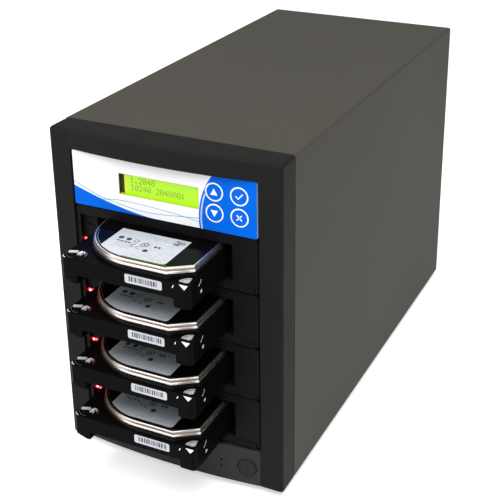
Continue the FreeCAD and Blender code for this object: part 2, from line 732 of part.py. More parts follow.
# -------------------------------------------------------------------- control panel
def key_places():
    """Column and row of each key."""
    right = KEY_COLUMN + S.key_pitch_wide
    high = KEY_ROW + S.key_pitch_tall
    return {"key_up": (KEY_COLUMN, high), "key_down": (KEY_COLUMN, KEY_ROW),
            "key_enter": (right, high), "key_escape": (right, KEY_ROW)}


def keypad_sides():
    """The low and high X and Z of the board behind the keys."""
    wide, tall = S.keypad_margin, S.keypad_margin_tall
    return ((KEY_COLUMN - wide, KEY_COLUMN + S.key_pitch_wide + wide),
            (KEY_ROW - tall, KEY_ROW + S.key_pitch_tall + tall))


def control_plate():
    """The face of the top bay: a window for the display and four round key holes."""
    body = new_body("control_plate")
    half = S.bay_width / 2
    loops = [rounded((-half, half), (PLATE_LOW, PLATE_LOW + FACE_HEIGHT), S.plate_corner),
             rectangle((WINDOW_LEFT, WINDOW_RIGHT), (WINDOW_LOW, WINDOW_HIGH))]
    loops += [Ring(at, S.key_radius + S.key_fit) for at in key_places().values()]
    pad(body, "plate_sheet", "front", (S.plate_front, PLATE_BACK), loops)
    x, z = keypad_sides()
    middle = (z[0] + z[1]) / 2
    posts = [square((px, middle), S.keypad_post)
             for px in (x[0] + S.keypad_post, x[1] - S.keypad_post)]
    pad(body, "keypad_posts", "front", (PLATE_BACK, S.keypad_back), posts)
    sub_part("control_plate", body)


def keypad_board():
    """A board on two posts, with a small push switch behind each key."""
    x, z = keypad_sides()
    shapes = [block("keypad_sheet", x, (S.keypad_back, S.keypad_back + S.board_thick), z)]
    half = S.tact_side / 2
    cap = S.tact_cap
    stem = PLATE_BACK + S.key_flange_thick + S.key_travel + S.tact_gap
    for px, pz in key_places().values():
        shapes.append(block("tact_case", (px - half, px + half),
                            (stem + S.tact_cap_thick, S.keypad_back), (pz - half, pz + half)))
        shapes.append(block("tact_cap", (px - cap, px + cap), (stem, stem + S.tact_cap_thick),
                            (pz - cap, pz + cap)))
    sub_part("keypad_board", fuse("keypad_joined", shapes))


def control_keys():
    """Four flat round keys; a flange behind the plate holds each one in."""
    front = S.plate_front - S.key_proud
    back = PLATE_BACK + S.key_flange_thick
    for label, (x, z) in key_places().items():
        body = new_body(label)
        section = [(0, front), (S.key_radius, front), (S.key_radius, PLATE_BACK),
                   (S.key_flange, PLATE_BACK), (S.key_flange, back), (0, back)]
        revolve(body, label + "_turn", "XY_Plane", section)
        sub_part(label, body, right=x, up=z)


def display():
    """The character display: its steel frame on a board, and the glass in the frame."""
    left = WINDOW_LEFT - S.display_margin
    right = WINDOW_RIGHT + S.display_margin
    low = WINDOW_LOW - S.display_margin_tall
    high = WINDOW_HIGH + S.display_margin_tall
    back = PLATE_BACK + S.display_depth
    frame = block("display_frame", (left, right), (PLATE_BACK, back), (low, high))
    fit = S.glass_set
    window = ((WINDOW_LEFT - fit, WINDOW_RIGHT + fit),
              (WINDOW_LOW - fit, WINDOW_HIGH + fit))
    opening = block("display_window", window[0], (PLATE_BACK, back), window[1])
    margin = S.display_board_margin
    board = block("display_sheet", (left - margin, right + margin),
                  (back, back + S.board_thick),
                  (low - S.display_board_rise, high + S.display_board_rise))
    hollow = cut("display_open", frame, [opening])
    sub_part("display_module", fuse("display_joined", [hollow, board]))
    fit = S.glass_set - S.glass_fit
    glass = block("glass_sheet", (WINDOW_LEFT - fit, WINDOW_RIGHT + fit),
                  (PLATE_BACK + S.glass_set, PLATE_BACK + S.glass_set + S.glass_thick),
                  (WINDOW_LOW - fit, WINDOW_HIGH + fit))
    sub_part("display_glass", group("glass_pane", [glass]))


def control_bracket():
    """A folded tray in the top bay that carries the controller board on four standoffs."""
    body = new_body("control_bracket")
    half = DEVICE_HALF
    low = PLATE_LOW + S.shell_base
    floor = low + S.steel
    high = low + S.bracket_height
    section = [(-half, low), (half, low), (half, high), (half - S.steel, high),
               (half - S.steel, floor), (S.steel - half, floor), (S.steel - half, high),
               (-half, high)]
    back = S.control_board_front + S.control_board_depth + S.bracket_margin
    pad(body, "bracket_fold", "front", (PLATE_BACK, back), [section])
    posts = [hexagon(at, S.standoff_radius) for at in standoff_places()]
    pad(body, "bracket_standoffs", "plan", (floor, floor + S.standoff), posts)
    pocket(body, "bracket_slots", "side", (-half, half), [bay_slot(bay_screw_heights()[-1])])
    sub_part("control_bracket", body)


def standoff_places():
    x = S.control_board_width / 2 - S.standoff_radius * 2
    front = S.control_board_front + S.standoff_radius * 2
    back = S.control_board_front + S.control_board_depth - S.standoff_radius * 2
    return [(sx * x, y) for sx in (-1, 1) for y in (front, back)]


def controller_board():
    """The copying controller: processor, memory, and a plug for each drive at the back."""
    low = PLATE_LOW + S.shell_base + S.steel + S.standoff
    top = low + S.board_thick
    half = S.control_board_width / 2
    back = S.control_board_front + S.control_board_depth
    shapes = [block("controller_sheet", (-half, half), (S.control_board_front, back),
                    (low, top))]
    front = S.control_board_front + S.processor_side
    half_chip = S.processor_side / 2
    shapes.append(block("processor", (-half_chip, half_chip), (front, front + S.processor_side),
                        (top, top + S.processor_thick)))
    for place in (-1, 1):
        x = place * S.memory_place
        shapes.append(block("memory", (x - S.memory_side / 2, x + S.memory_side / 2),
                            (front, front + S.memory_side), (top, top + S.memory_thick)))
    for plug in range(BAYS):
        x = S.data_plug_pitch * (plug - (BAYS - 1) / 2)
        shapes.append(block("data_plug", (x - S.data_plug_wide / 2, x + S.data_plug_wide / 2),
                            (back - S.data_plug_deep, back), (top, top + S.data_plug_height)))
    sub_part("controller_board", fuse("controller_joined", shapes))


# -------------------------------------------------------------------- open drive racks
def rack_level(place):
    """The underside of a rack's face; rack 1 is the top one."""
    return S.lower_panel_height + S.bay_pitch * (RACKS - place) + S.bay_gap / 2


def bay_screw_heights():
    return [S.lower_panel_height + S.bay_screw_level + S.bay_pitch * bay
            for bay in range(BAYS)]


def rack_bezel(place):
    """The moulded face of one rack: a wide mouth, a ramped lip and a sunk lamp corner."""
    label = "rack_bezel_%d" % place
    body = new_body(label)
    half = S.bay_width / 2
    high = S.slot_low + S.slot_height
    back = S.face_step + S.face_depth
    pad(body, label + "_face", "front", (S.face_step, back),
        [rounded((-half, half), (0, FACE_HEIGHT), S.face_corner)])
    lip_half = half - S.face_corner
    lip = [(0, S.lip_low), (S.face_step * 2, S.lip_low),
           (S.face_step * 2, S.slot_low), (S.face_step, S.slot_low), (0, S.lip_height)]
    pad(body, label + "_lip", "side", (-lip_half, lip_half), [lip])
    mouth = [rectangle((SLOT_LEFT, SLOT_RIGHT), (S.slot_low, high))]
    pocket(body, label + "_mouth", "front", (0, back), mouth)
    sunk = [rectangle((-lip_half, SLOT_LEFT), (S.slot_low, high))]
    floor = S.face_step + S.lamp_recess
    pocket(body, label + "_lamp_corner", "front", (0, floor), sunk)
    lamps = [square(at, S.lamp_half + S.lamp_fit) for at in lamp_places()]
    pocket(body, label + "_lamp_holes", "front", (0, back), lamps)
    centre = S.mark_edge - half
    mark = rectangle((centre - S.mark_width / 2, centre + S.mark_width / 2),
                     (S.mark_level - S.mark_height / 2, S.mark_level + S.mark_height / 2))
    last = pocket(body, label + "_mark", "front", (floor, floor + S.mark_depth), [mark])
    dress(body, "Chamfer", label + "_lead_in", last, S.mouth_chamfer,
          lambda a, b: near(a.x, SLOT_RIGHT) and near(b.x, SLOT_RIGHT)
          and near(a.y, S.face_step) and near(b.y, S.face_step))
    sub_part(label, body, up=rack_level(place))


def lamp_places():
    """Two small lamps side by side."""
    centre = S.lamp_edge - S.bay_width / 2
    half = S.lamp_spacing / 2
    return [(centre - half, S.lamp_height), (centre + half, S.lamp_height)]


def rack_lamps(place):
    """Two square light pipes, from the backplane's side to the sunk corner."""
    floor = S.face_step + S.lamp_recess
    half = S.lamp_half
    shapes = [block("lamp", (x - half, x + half), (floor, floor + S.lamp_length),
                    (z - half, z + half)) for x, z in lamp_places()]
    label = "rack_lamps_%d" % place
    sub_part(label, group(label + "_pair", shapes), up=rack_level(place))


def rack_shell(place):
    """The open tray behind one face: two ledges carry the drive, two walls guide it."""
    label = "rack_shell_%d" % place
    body = new_body(label)
    half = DEVICE_HALF
    wall = S.shell_wall
    top = S.shell_base + S.shell_height
    ledge = DRIVE_LEVEL
    left = DRIVE_LEFT - S.guide_gap
    right = DRIVE_LEFT + S.drive_width + S.guide_gap
    guide = S.guide_height
    section = [(-half, S.shell_base), (half, S.shell_base), (half, top), (half - wall, top),
               (half - wall, SHELL_LOW), (right + S.guide_wall, SHELL_LOW),
               (right + S.guide_wall, guide), (right, guide), (right, ledge),
               (right - S.rail_width, ledge), (right - S.rail_width, SHELL_LOW),
               (left + S.rail_width, SHELL_LOW), (left + S.rail_width, ledge), (left, ledge),
               (left, guide), (left - S.guide_wall, guide), (left - S.guide_wall, SHELL_LOW),
               (wall - half, SHELL_LOW), (wall - half, top), (-half, top)]
    back = BACKPLANE + S.shell_behind
    pad(body, label + "_fold", "front", (S.face_step + S.face_depth, back), [section])
    inner = half - wall
    pocket(body, label + "_board_slot", "front", (BACKPLANE - S.board_fit, back),
           [rectangle((-inner, inner), (SHELL_LOW, top))])
    pocket(body, label + "_slots", "side", (-half, half),
           [bay_slot(S.bay_screw_level - S.bay_gap / 2)])
    sub_part(label, body, up=rack_level(place))


def rack_board(place):
    """The backplane of one rack, with the socket that a drive is pushed on to."""
    label = "rack_board_%d" % place
    half = DEVICE_HALF - S.shell_wall - S.board_fit
    sheet_shape = block("backplane_sheet", (-half, half), (BACKPLANE, BACKPLANE + S.board_thick),
                        (SHELL_LOW, SHELL_LOW + S.backplane_height))
    left = DRIVE_LEFT + S.plug_place
    low = DRIVE_LEVEL + S.plug_low
    rear = S.drive_length - S.drive_proud
    body_block = block("socket_body", (left, left + S.plug_width), (rear + S.plug_fit, BACKPLANE),
                       (low, low + S.plug_height))
    inset = S.plug_wall + S.plug_fit
    tongue = block("socket_tongue", (left + inset, left + S.plug_width - inset),
                   (rear - S.plug_socket + S.plug_fit * 2, rear + S.plug_fit),
                   (low + inset, low + S.plug_height - inset))
    sub_part(label, fuse(label + "_joined", [sheet_shape, body_block, tongue]),
             up=rack_level(place))


# -------------------------------------------------------------------- bare drives
def drive_part(label, thing, place):
    """Place a piece drawn from the front left lower corner of a bare drive."""
    sub_part(label, thing, right=DRIVE_LEFT, back=-S.drive_proud,
             up=rack_level(place) + DRIVE_LEVEL)


def drive_body(place):
    """The cast base of one bare drive: flange, raised nose, board bay and screw holes."""
    label = "drive_body_%d" % place
    body = new_body(label)
    width = S.drive_width
    length = S.drive_length
    pad(body, label + "_casting", "plan", (0, S.flange_height),
        [rounded((0, width), (0, length), S.drive_corner)])
    pocket(body, label + "_board_bay", "plan", (0, S.board_bay_depth),
           [rectangle((S.board_bay_edge, width - S.board_bay_edge),
                      (S.board_bay_front, length - S.board_bay_rear))])
    pocket(body, label + "_nose", "plan", (0, S.nose_rise),
           [rectangle((S.nose_left, width - S.nose_right), (0, S.board_bay_front))])
    left = S.plug_place - S.plug_fit
    right = S.plug_place + S.plug_width + S.plug_fit
    rear = length - S.board_bay_rear
    pocket(body, label + "_plug_bay", "plan", (0, S.plug_low + S.plug_height + S.plug_fit),
           [rectangle((left, right), (rear, length))])
    pocket(body, label + "_foot_cut", "front", (0, S.nose_left),
           [[(0, 0), (S.foot_cut, 0), (0, S.foot_cut_rise)]])
    holes = [Ring((S.side_hole_front + S.side_hole_pitch * step, S.side_hole_level),
                  S.side_hole_radius) for step in range(SIDE_HOLES)]
    pocket(body, label + "_right_holes", "side", (width - S.side_hole_depth, width), holes)
    pocket(body, label + "_left_holes", "side", (0, S.side_hole_depth), holes)
    pad_left = S.corner_pad
    pocket(body, label + "_left_pad", "plan",
           (S.flange_height - S.corner_pad_sink, S.flange_height),
           [rounded((pad_left, pad_left + S.corner_pad_deep),
                    (pad_left * 2, pad_left * 2 + S.corner_pad_deep), S.corner_pad)])
    far = width - S.corner_pad
    near_edge = S.corner_pad * 2
    pocket(body, label + "_right_pad", "plan",
           (S.flange_height - S.corner_pad_sink, S.flange_height),
           [[(far - S.corner_pad_long, near_edge), (far, near_edge),
             (far, near_edge + S.corner_pad_deep)]])
    drive_part(label, body, place)


def lid_outline(inset):
    """The lid's plan: round the disks at the front left, cut off at the front right."""
    radius = S.platter_radius - inset
    left = S.lid_left + inset
    right = S.drive_width - S.lid_edge - inset
    front = S.lid_edge + inset
    rear = S.drive_length - S.lid_rear - inset
    middle = (S.lid_left + S.platter_radius, S.platter_place)
    cut_x = right - S.lid_chamfer_long
    cut_y = front + S.lid_chamfer_deep
    corner = S.lid_corner
    return [(left, middle[1]), (middle[0], front, middle, radius), (cut_x, front),
            (right, cut_y), (right, rear - corner), (right - corner, rear),
            (left + corner, rear), (left, rear - corner)]


def drive_lid(place):
    """The lid of one bare drive, rising in three steps."""
    label = "drive_lid_%d" % place
    body = new_body(label)
    levels = [S.flange_height, S.flange_height + S.lid_first,
              S.flange_height + S.lid_first + S.lid_second, S.drive_height]
    for step in range(LID_STEPS):
        pad(body, "%s_step_%d" % (label, step), "plan", (levels[step], levels[step + 1]),
            [lid_outline(S.lid_step * step)])
    drive_part(label, body, place)


def drive_board(place):
    """The circuit board under one bare drive, with the plug at its back edge."""
    label = "drive_board_%d" % place
    edge = S.board_bay_edge + S.board_thick
    top = S.board_bay_depth
    low = top - S.board_thick
    rear = S.drive_length - S.board_bay_rear
    shapes = [block("drive_sheet", (edge, S.drive_width - edge),
                    (S.board_bay_front + S.board_thick, rear), (low, top))]
    side = S.chip_side
    for x, y in ((S.chip_left, S.chip_front), (S.chip_right, S.chip_back)):
        shapes.append(block("drive_chip", (x, x + side), (y, y + side), (low - S.chip_thick, low)))
    left = S.plug_place
    right = left + S.plug_width
    high = S.plug_low + S.plug_height
    plug = block("plug_body", (left, right), (rear, rear + S.plug_depth - S.plug_fit),
                 (S.plug_low, high))
    socket = block("plug_socket", (left + S.plug_wall, right - S.plug_wall),
                   (S.drive_length - S.plug_socket, S.drive_length),
                   (S.plug_low + S.plug_wall, high - S.plug_wall))
    joined = fuse("drive_board_solid", shapes + [plug])
    drive_part(label, cut(label + "_open", joined, [socket]), place)


# -------------------------------------------------------------------- power supply
def supply_case():
    """The power supply's box, with a pressed grille and holes for the inlet and rocker."""
    half = S.supply_width / 2
    wall = S.supply_wall
    low = TRAY_TOP
    high = TRAY_TOP + S.supply_height
    shell = block("supply_shell", (-half, half), (SUPPLY_FRONT, SUPPLY_BACK), (low, high))
    inside = block("supply_inside", (wall - half, half - wall),
                   (SUPPLY_FRONT + wall, SUPPLY_BACK - wall), (low + wall, high - wall))
    fan = (SUPPLY_FAN, SUPPLY_BACK - wall * 2, TRAY_TOP + S.supply_fan_level)
    slots = []
    for number in range(GRILLE_RINGS):
        inner = S.grille_first + (S.grille_ring + S.grille_slot) * number
        outer_rod = rod("grille_outer", "y", fan, inner + S.grille_slot, wall * 3)
        inner_rod = rod("grille_inner", "y", fan, inner, wall * 3)
        slots.append(cut("grille_slot_ring", outer_rod, [inner_rod]))
    reach = S.fan_duct + S.grille_spoke
    spoke = S.grille_spoke / 2
    spokes = [block("spoke_wide", (fan[0] - reach, fan[0] + reach), (fan[1], fan[1] + wall * 3),
                    (fan[2] - spoke, fan[2] + spoke)),
              block("spoke_tall", (fan[0] - spoke, fan[0] + spoke), (fan[1], fan[1] + wall * 3),
                    (fan[2] - reach, fan[2] + reach))]
    grille = cut("grille_slots", fuse("grille_rings", slots), spokes)
    holes = []
    for (x, z), (wide, tall) in (inlet_hole(), rocker_hole()):
        holes.append(block("supply_hole", (x - wide, x + wide),
                           (SUPPLY_BACK - wall * 2, SUPPLY_BACK + wall), (z - tall, z + tall)))
    sub_part("power_supply_case", cut("supply_open", shell, [inside, grille] + holes))


def inlet_hole():
    """Centre and half sides of the hole for the inlet."""
    grow = S.inlet_wall + S.panel_gap / 2
    return ((INLET, S.inlet_level),
            (S.inlet_width / 2 + grow, S.inlet_height / 2 + grow))


def rocker_hole():
    """Centre and half sides of the hole for the rocker's housing."""
    grow = S.panel_gap / 2
    return ((ROCKER, S.rocker_level), (rocker_half_width() + grow,
                                               rocker_half_height() + grow))


def rocker_half_width():
    return S.rocker_width / 2 + S.rocker_fit + S.rocker_wall


def rocker_half_height():
    return S.rocker_half + S.rocker_sweep_gap + S.rocker_wall


def power_inlet():
    """The mains inlet: a socket with three flat pins, its flange on the supply's back."""
    x, z = INLET, S.inlet_level
    back = SUPPLY_BACK + S.inlet_flange_thick
    wide, tall = S.inlet_width / 2, S.inlet_height / 2
    wall = S.inlet_wall
    body = block("inlet_body", (x - wide - wall, x + wide + wall),
                 (back - S.inlet_depth - wall, back), (z - tall - wall, z + tall + wall))
    edge = wall + S.inlet_flange
    flange = block("inlet_flange", (x - wide - edge, x + wide + edge), (SUPPLY_BACK, back),
                   (z - tall - edge, z + tall + edge))
    cavity = block("inlet_cavity", (x - wide, x + wide), (back - S.inlet_depth, back),
                   (z - tall, z + tall))
    pins = []
    for step, rise in ((-1, -1), (0, 1), (1, -1)):
        px = x + S.pin_spacing * step
        pz = z + S.pin_rise * rise
        pins.append(block("inlet_pin", (px - S.pin_width / 2, px + S.pin_width / 2),
                          (back - S.inlet_depth - wall / 2, back - S.pin_recess),
                          (pz - S.pin_height / 2, pz + S.pin_height / 2)))
    hollow = cut("inlet_hollow", fuse("inlet_solid", [body, flange]), [cavity])
    sub_part("power_inlet", fuse("inlet_joined", [hollow] + pins))


def rocker_pivot():
    """Where the rocker turns."""
    return SUPPLY_BACK + S.inlet_flange_thick - S.rocker_pivot_set


def rocker_housing():
    """The rocker's housing: an open box with two pivot holes and a flange."""
    x, z = ROCKER, S.rocker_level
    back = SUPPLY_BACK + S.inlet_flange_thick
    wide, tall = rocker_half_width(), rocker_half_height()
    box = block("rocker_box", (x - wide, x + wide), (back - S.rocker_depth, back),
                (z - tall, z + tall))
    flange = block("rocker_flange", (x - wide - S.rocker_flange, x + wide + S.rocker_flange),
                   (SUPPLY_BACK, back), (z - tall - S.rocker_flange, z + tall + S.rocker_flange))
    half = S.rocker_width / 2 + S.rocker_fit
    sweep = S.rocker_half + S.rocker_sweep_gap
    cavity = block("rocker_cavity", (x - half, x + half),
                   (back - S.rocker_depth + S.rocker_wall / 2, back), (z - sweep, z + sweep))
    reach = half + S.rocker_pin_reach
    bore = rod("rocker_bore", "x", (x - reach, rocker_pivot(), z),
               S.rocker_pin + S.rocker_pin_fit, reach * 2)
    solid = fuse("rocker_solid", [box, flange])
    sub_part("rocker_housing", cut("rocker_open", solid, [cavity, bore]))


def power_rocker():
    """The rocker itself, tipped to its off side: a shallow V on two pivot pins."""
    body = new_body("power_rocker")
    half = S.rocker_half
    side = S.rocker_width / 2
    back = -S.rocker_back
    section = [(S.rocker_valley, 0), (S.rocker_peak, half), (back, S.rocker_waist),
               (back, -S.rocker_waist), (S.rocker_peak, -half)]
    pad(body, "rocker_face", "side", (-side, side), [section])
    reach = side + S.rocker_fit + S.rocker_pin_reach - S.rocker_pin_fit
    pad(body, "rocker_pins", "side", (-reach, reach), [Ring((0, 0), S.rocker_pin)])
    tilt = FreeCAD.Rotation(FreeCAD.Vector(1, 0, 0), -S.rocker_tilt.value)
    body.Placement = FreeCAD.Placement(FreeCAD.Vector(), tilt)
    sub_part("power_rocker", body, right=ROCKER, back=rocker_pivot(), up=S.rocker_level)


# -------------------------------------------------------------------- fans
def fan_frame(label, x, rear, z):
    """A square fan housing: duct, struts, motor plate and pin."""
    half = S.fan_size / 2
    front = rear - S.fan_depth
    box = block(label + "_box", (x - half, x + half), (front, rear), (z - half, z + half))
    duct = rod(label + "_duct", "y", (x, front, z), S.fan_duct, S.fan_depth)
    ring_shape = cut(label + "_ring", box, [duct])
    thick = S.fan_strut_thick
    strut = S.fan_strut / 2
    reach = S.fan_duct + S.fan_tip_gap
    plate = rod(label + "_plate", "y", (x, rear - thick, z), S.fan_hub, thick)
    struts = [block(label + "_strut", (x - reach, x + reach), (rear - thick, rear),
                    (z - strut, z + strut)),
              block(label + "_strut", (x - strut, x + strut), (rear - thick, rear),
                    (z - reach, z + reach))]
    pin = rod(label + "_pin", "y", (x, rear - thick - fan_pin_length(), z), S.fan_pin,
              fan_pin_length())
    return fuse(label + "_joined", [ring_shape, plate, pin] + struts)


def fan_pin_length():
    return S.fan_hub_gap + S.fan_rotor_depth - S.fan_cap - S.fan_pin_fit


def fan_rotor(label, x, rear, z):
    """Seven bent blades on a hub that turns on the housing's pin."""
    body = new_body(label)
    depth = S.fan_rotor_depth
    bore = S.fan_pin + S.fan_pin_fit
    section = [(0, 0), (S.fan_hub - S.blade_root, 0), (S.fan_hub, S.blade_root),
               (S.fan_hub, depth), (bore, depth), (bore, S.fan_cap), (0, S.fan_cap)]
    revolve(body, label + "_hub", "XY_Plane", section)
    wide, tall = S.blade_wide / 2, S.blade_tall / 2
    middle = depth / 2
    thick = S.blade_thick
    hollow = S.blade_hollow
    section = [(-wide, middle - tall), (hollow, middle - hollow), (wide, middle + tall - thick),
               (wide, middle + tall), (hollow - thick, middle - hollow + thick),
               (-wide, middle - tall + thick)]
    blade = pad(body, label + "_blade", "plan",
                (S.fan_hub - S.blade_root, S.fan_duct + S.fan_tip_gap), [section])
    repeat_round(body, blade, label + "_blades", "Y_Axis", BLADES)
    tip = S.fan_duct - S.fan_tip_gap
    trim = rectangle((tip, S.fan_size), (0, depth))
    revolve(body, label + "_trim", "XY_Plane", trim, kind="Groove")
    front = rear - S.fan_strut_thick - S.fan_hub_gap - depth
    sub_part(label, body, right=x, back=front, up=z)


def fans():
    """The case fan behind the back panel, and the power supply's own."""
    rear = REAR - S.steel
    level = S.case_fan_level
    holes = [rod("fan_hole", "y", (x, rear - S.fan_depth, z), S.fan_hole_radius, S.fan_depth)
             for x, z in fan_screw_places()]
    frame = fan_frame("case_fan_frame", as_size(0), rear, level)
    sub_part("case_fan_frame", cut("case_fan_drilled", frame, holes))
    fan_rotor("case_fan_rotor", as_size(0), rear, level)
    rear = SUPPLY_BACK - S.supply_wall
    level = TRAY_TOP + S.supply_fan_level
    sub_part("supply_fan_frame", fan_frame("supply_fan_frame", SUPPLY_FAN, rear, level))
    fan_rotor("supply_fan_rotor", SUPPLY_FAN, rear, level)


def fan_screw_places():
    """The corners of the case fan's screw pattern."""
    pitch = S.fan_hole_pitch / 2
    return [(x, S.case_fan_level + z) for x in (-pitch, pitch) for z in (-pitch, pitch)]


def fan_guard():
    """A finger guard over the case fan: rings, two crossed bars and four screw eyes."""
    z = S.case_fan_level
    wire = S.guard_wire
    rings = []
    for number in range(GUARD_RINGS):
        radius = S.guard_first + S.guard_step * number
        at = (0, REAR, z)
        outer = rod("guard_outer", "y", at, radius + wire, wire * 2)
        inner = rod("guard_inner", "y", at, radius - wire, wire * 2)
        rings.append(cut("guard_ring", outer, [inner]))
    eyes = []
    holes = []
    hole = S.screw_shank + S.screw_fit
    for x, up in fan_screw_places():
        for shapes, half in ((eyes, S.guard_eye), (holes, hole)):
            shapes.append(block("guard_eye", (x - half, x + half), (REAR, REAR + wire * 2),
                                (up - half, up + half)))
    bars = []
    for turn in (45, 135):
        bar = new("Part::Box", "guard_bar")
        reach = S.fan_hole_pitch * math.sqrt(2) / 2
        bind(bar, "Length", reach * 2)
        bind(bar, "Width", wire * 2)
        bind(bar, "Height", wire * 2)
        turned = FreeCAD.Rotation(FreeCAD.Vector(0, 1, 0), -turn)
        bar.Placement = FreeCAD.Placement(FreeCAD.Vector(), turned)
        across = turned.multVec(FreeCAD.Vector(1, 0, 0))
        upward = turned.multVec(FreeCAD.Vector(0, 0, 1))
        bind(bar, "Placement.Base.x", -(reach * across.x) - wire * upward.x)
        bind(bar, "Placement.Base.y", REAR)
        bind(bar, "Placement.Base.z", z - reach * across.z - wire * upward.z)
        bars.append(bar)
    sub_part("fan_guard", cut("guard_open", fuse("guard_solid", rings + bars + eyes), holes))


# -------------------------------------------------------------------- fasteners
def screw(name, axis, at, side, head, reach):
    """One screw: its head stands out to one side of a face, and its shank goes in."""
    out, back = (0, -reach) if side > 0 else (-head, 0)
    return fuse(name, [prism(name + "_head", axis, shifted(axis, at, out), S.screw_head, head),
                       prism(name + "_shank", axis, shifted(axis, at, back), S.screw_shank,
                             reach)])


def shifted(axis, at, by):
    return tuple(place + by if letter == axis else place for letter, place in zip("xyz", at))


def screws():
    """Cover and fan screws in the back, and the bay screws in the cage's two sides."""
    head = S.screw_head_thick
    cover = [screw("cover_screw", "y", (x, REAR_SKIN, z), 1, head, S.screw_reach)
             for x, z in cover_screw_places()]
    sub_part("cover_screws", group("cover_screw_set", cover))
    face = REAR + S.guard_wire * 2
    held = [screw("fan_screw", "y", (x, face, z), 1, S.fan_screw_head, S.screw_reach)
            for x, z in fan_screw_places()]
    sub_part("fan_screws", group("fan_screw_set", held))
    outer = CAGE_INNER + S.steel
    bay = [screw("bay_screw", "x", (side * outer, S.bay_screw_place, z), side, head,
                 S.bay_screw_reach)
           for side in (-1, 1) for z in bay_screw_heights()]
    sub_part("bay_screws", group("bay_screw_set", bay))


# -------------------------------------------------------------------- build and write
def build():
    case_cover()
    chassis_tray()
    rear_panel()
    bay_cage()
    feet()
    front_bezel()
    lower_front_panel()
    power_button()
    front_switch_board()
    control_plate()
    keypad_board()
    control_keys()
    display()
    control_bracket()
    controller_board()
    for place in range(1, RACKS + 1):
        rack_bezel(place)
        rack_lamps(place)
        rack_shell(place)
        rack_board(place)
        drive_body(place)
        drive_lid(place)
        drive_board(place)
    supply_case()
    power_inlet()
    rocker_housing()
    power_rocker()
    fans()
    fan_guard()
    screws()
    document.recompute()


def check():
    """Stop before anything is written if a feature failed or a shape is not sound."""
    for thing in document.Objects:
        if "Invalid" in thing.State or "Error" in thing.State:
            raise RuntimeError("%s (%s) failed: %s" % (thing.Name, thing.Label, thing.State))
    for label, thing in parts.items():
        if thing.Shape.isNull() or not thing.Shape.isValid():
            raise RuntimeError("the shape of %s is not sound" % label)


def write():
    os.makedirs("parts", exist_ok=True)
    for label, thing in parts.items():
        thing.Shape.exportStep(os.path.join("parts", label + ".step"))
        box = thing.Shape.BoundBox
        print("%-22s solids %2d  x %7.2f %7.2f  y %8.2f %8.2f  z %7.2f %7.2f" % (
            label, len(thing.Shape.Solids), box.XMin, box.XMax, box.YMin, box.YMax,
            box.ZMin, box.ZMax))
    print(len(parts), "sub-parts")


build()
check()
write()
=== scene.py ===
# %% [markdown]
# # A drive duplicator
#
# A tower that copies bare disk drives. The solids come ready made, in metres and at their
# real size. This lesson dresses them: it gives each solid a finish and adds the thin things
# that a solid model leaves out, such as printed film, labels, bar marks and milled spots.

import math
import random

import bmesh
import bpy
from mathutils import Matrix, Vector


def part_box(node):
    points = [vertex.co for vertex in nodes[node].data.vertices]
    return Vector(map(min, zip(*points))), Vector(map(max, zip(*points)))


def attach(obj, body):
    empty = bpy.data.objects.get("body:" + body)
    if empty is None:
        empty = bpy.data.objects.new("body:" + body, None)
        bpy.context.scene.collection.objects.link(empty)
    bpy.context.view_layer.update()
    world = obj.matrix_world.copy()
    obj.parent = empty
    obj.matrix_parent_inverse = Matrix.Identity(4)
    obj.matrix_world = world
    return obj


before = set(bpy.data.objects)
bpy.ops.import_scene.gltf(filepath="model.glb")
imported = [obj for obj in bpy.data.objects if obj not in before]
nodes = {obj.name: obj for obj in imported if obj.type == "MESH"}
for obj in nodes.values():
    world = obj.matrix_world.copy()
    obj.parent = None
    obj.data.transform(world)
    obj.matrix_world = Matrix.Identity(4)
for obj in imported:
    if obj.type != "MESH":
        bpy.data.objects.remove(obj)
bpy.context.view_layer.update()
MM = 0.001
DRIVES = (1, 2, 3, 4)
KEYS = ("key_up", "key_down", "key_enter", "key_escape")

# %% [markdown]
# ## The camera
#
# A product picture of a tower is taken from a little above and to one side, so that the
# front, one flank and the roof all show. A camera is a place, three turns and a lens. We set
# the turns from an azimuth and an elevation, as a photographer would say them, because such
# numbers can be read and changed by eye. The shift slides the picture on the sensor, as a
# view camera does: the camera looks down less steeply than if it pointed at the tower, so
# the tower's upright edges lean together less.

# %% Place the camera
CAMERA_PLACE = Vector((0.3575, -0.7494, 0.5249))
CAMERA_AZIMUTH = 24.45
CAMERA_ELEVATION = 21.19
CAMERA_ROLL = 0.05
CAMERA_LENS = 75.65
SENSOR_WIDTH = 36
CAMERA_SHIFT = (-0.070, -0.201)


def camera_turn(azimuth, elevation, roll):
    """The rotation of a camera that looks at the front from the right and from above."""
    turn = Matrix.Rotation(math.radians(azimuth), 3, "Z")
    turn = turn @ Matrix.Rotation(math.radians(90 - elevation), 3, "X")
    return turn @ Matrix.Rotation(math.radians(roll), 3, "Z")


lens = bpy.data.cameras.new("camera")
lens.lens = CAMERA_LENS
lens.sensor_width = SENSOR_WIDTH
lens.shift_x, lens.shift_y = CAMERA_SHIFT
camera = bpy.data.objects.new("camera", lens)
turn = camera_turn(CAMERA_AZIMUTH, CAMERA_ELEVATION, CAMERA_ROLL)
camera.matrix_world = Matrix.Translation(CAMERA_PLACE) @ turn.to_4x4()
bpy.context.scene.collection.objects.link(camera)
bpy.context.scene.camera = camera
print("camera at", tuple(round(v, 3) for v in CAMERA_PLACE))

# %% [markdown]
# ## Light
#
# Dark, glossy things are lit by large soft lamps, because what we see in them is mostly the
# lamp. One broad lamp hangs above and in front, one stands on each side, and a pale world
# fills the shadows. The camera sees that world as plain white, like a studio's backdrop,
# while its light on the tower stays lower.

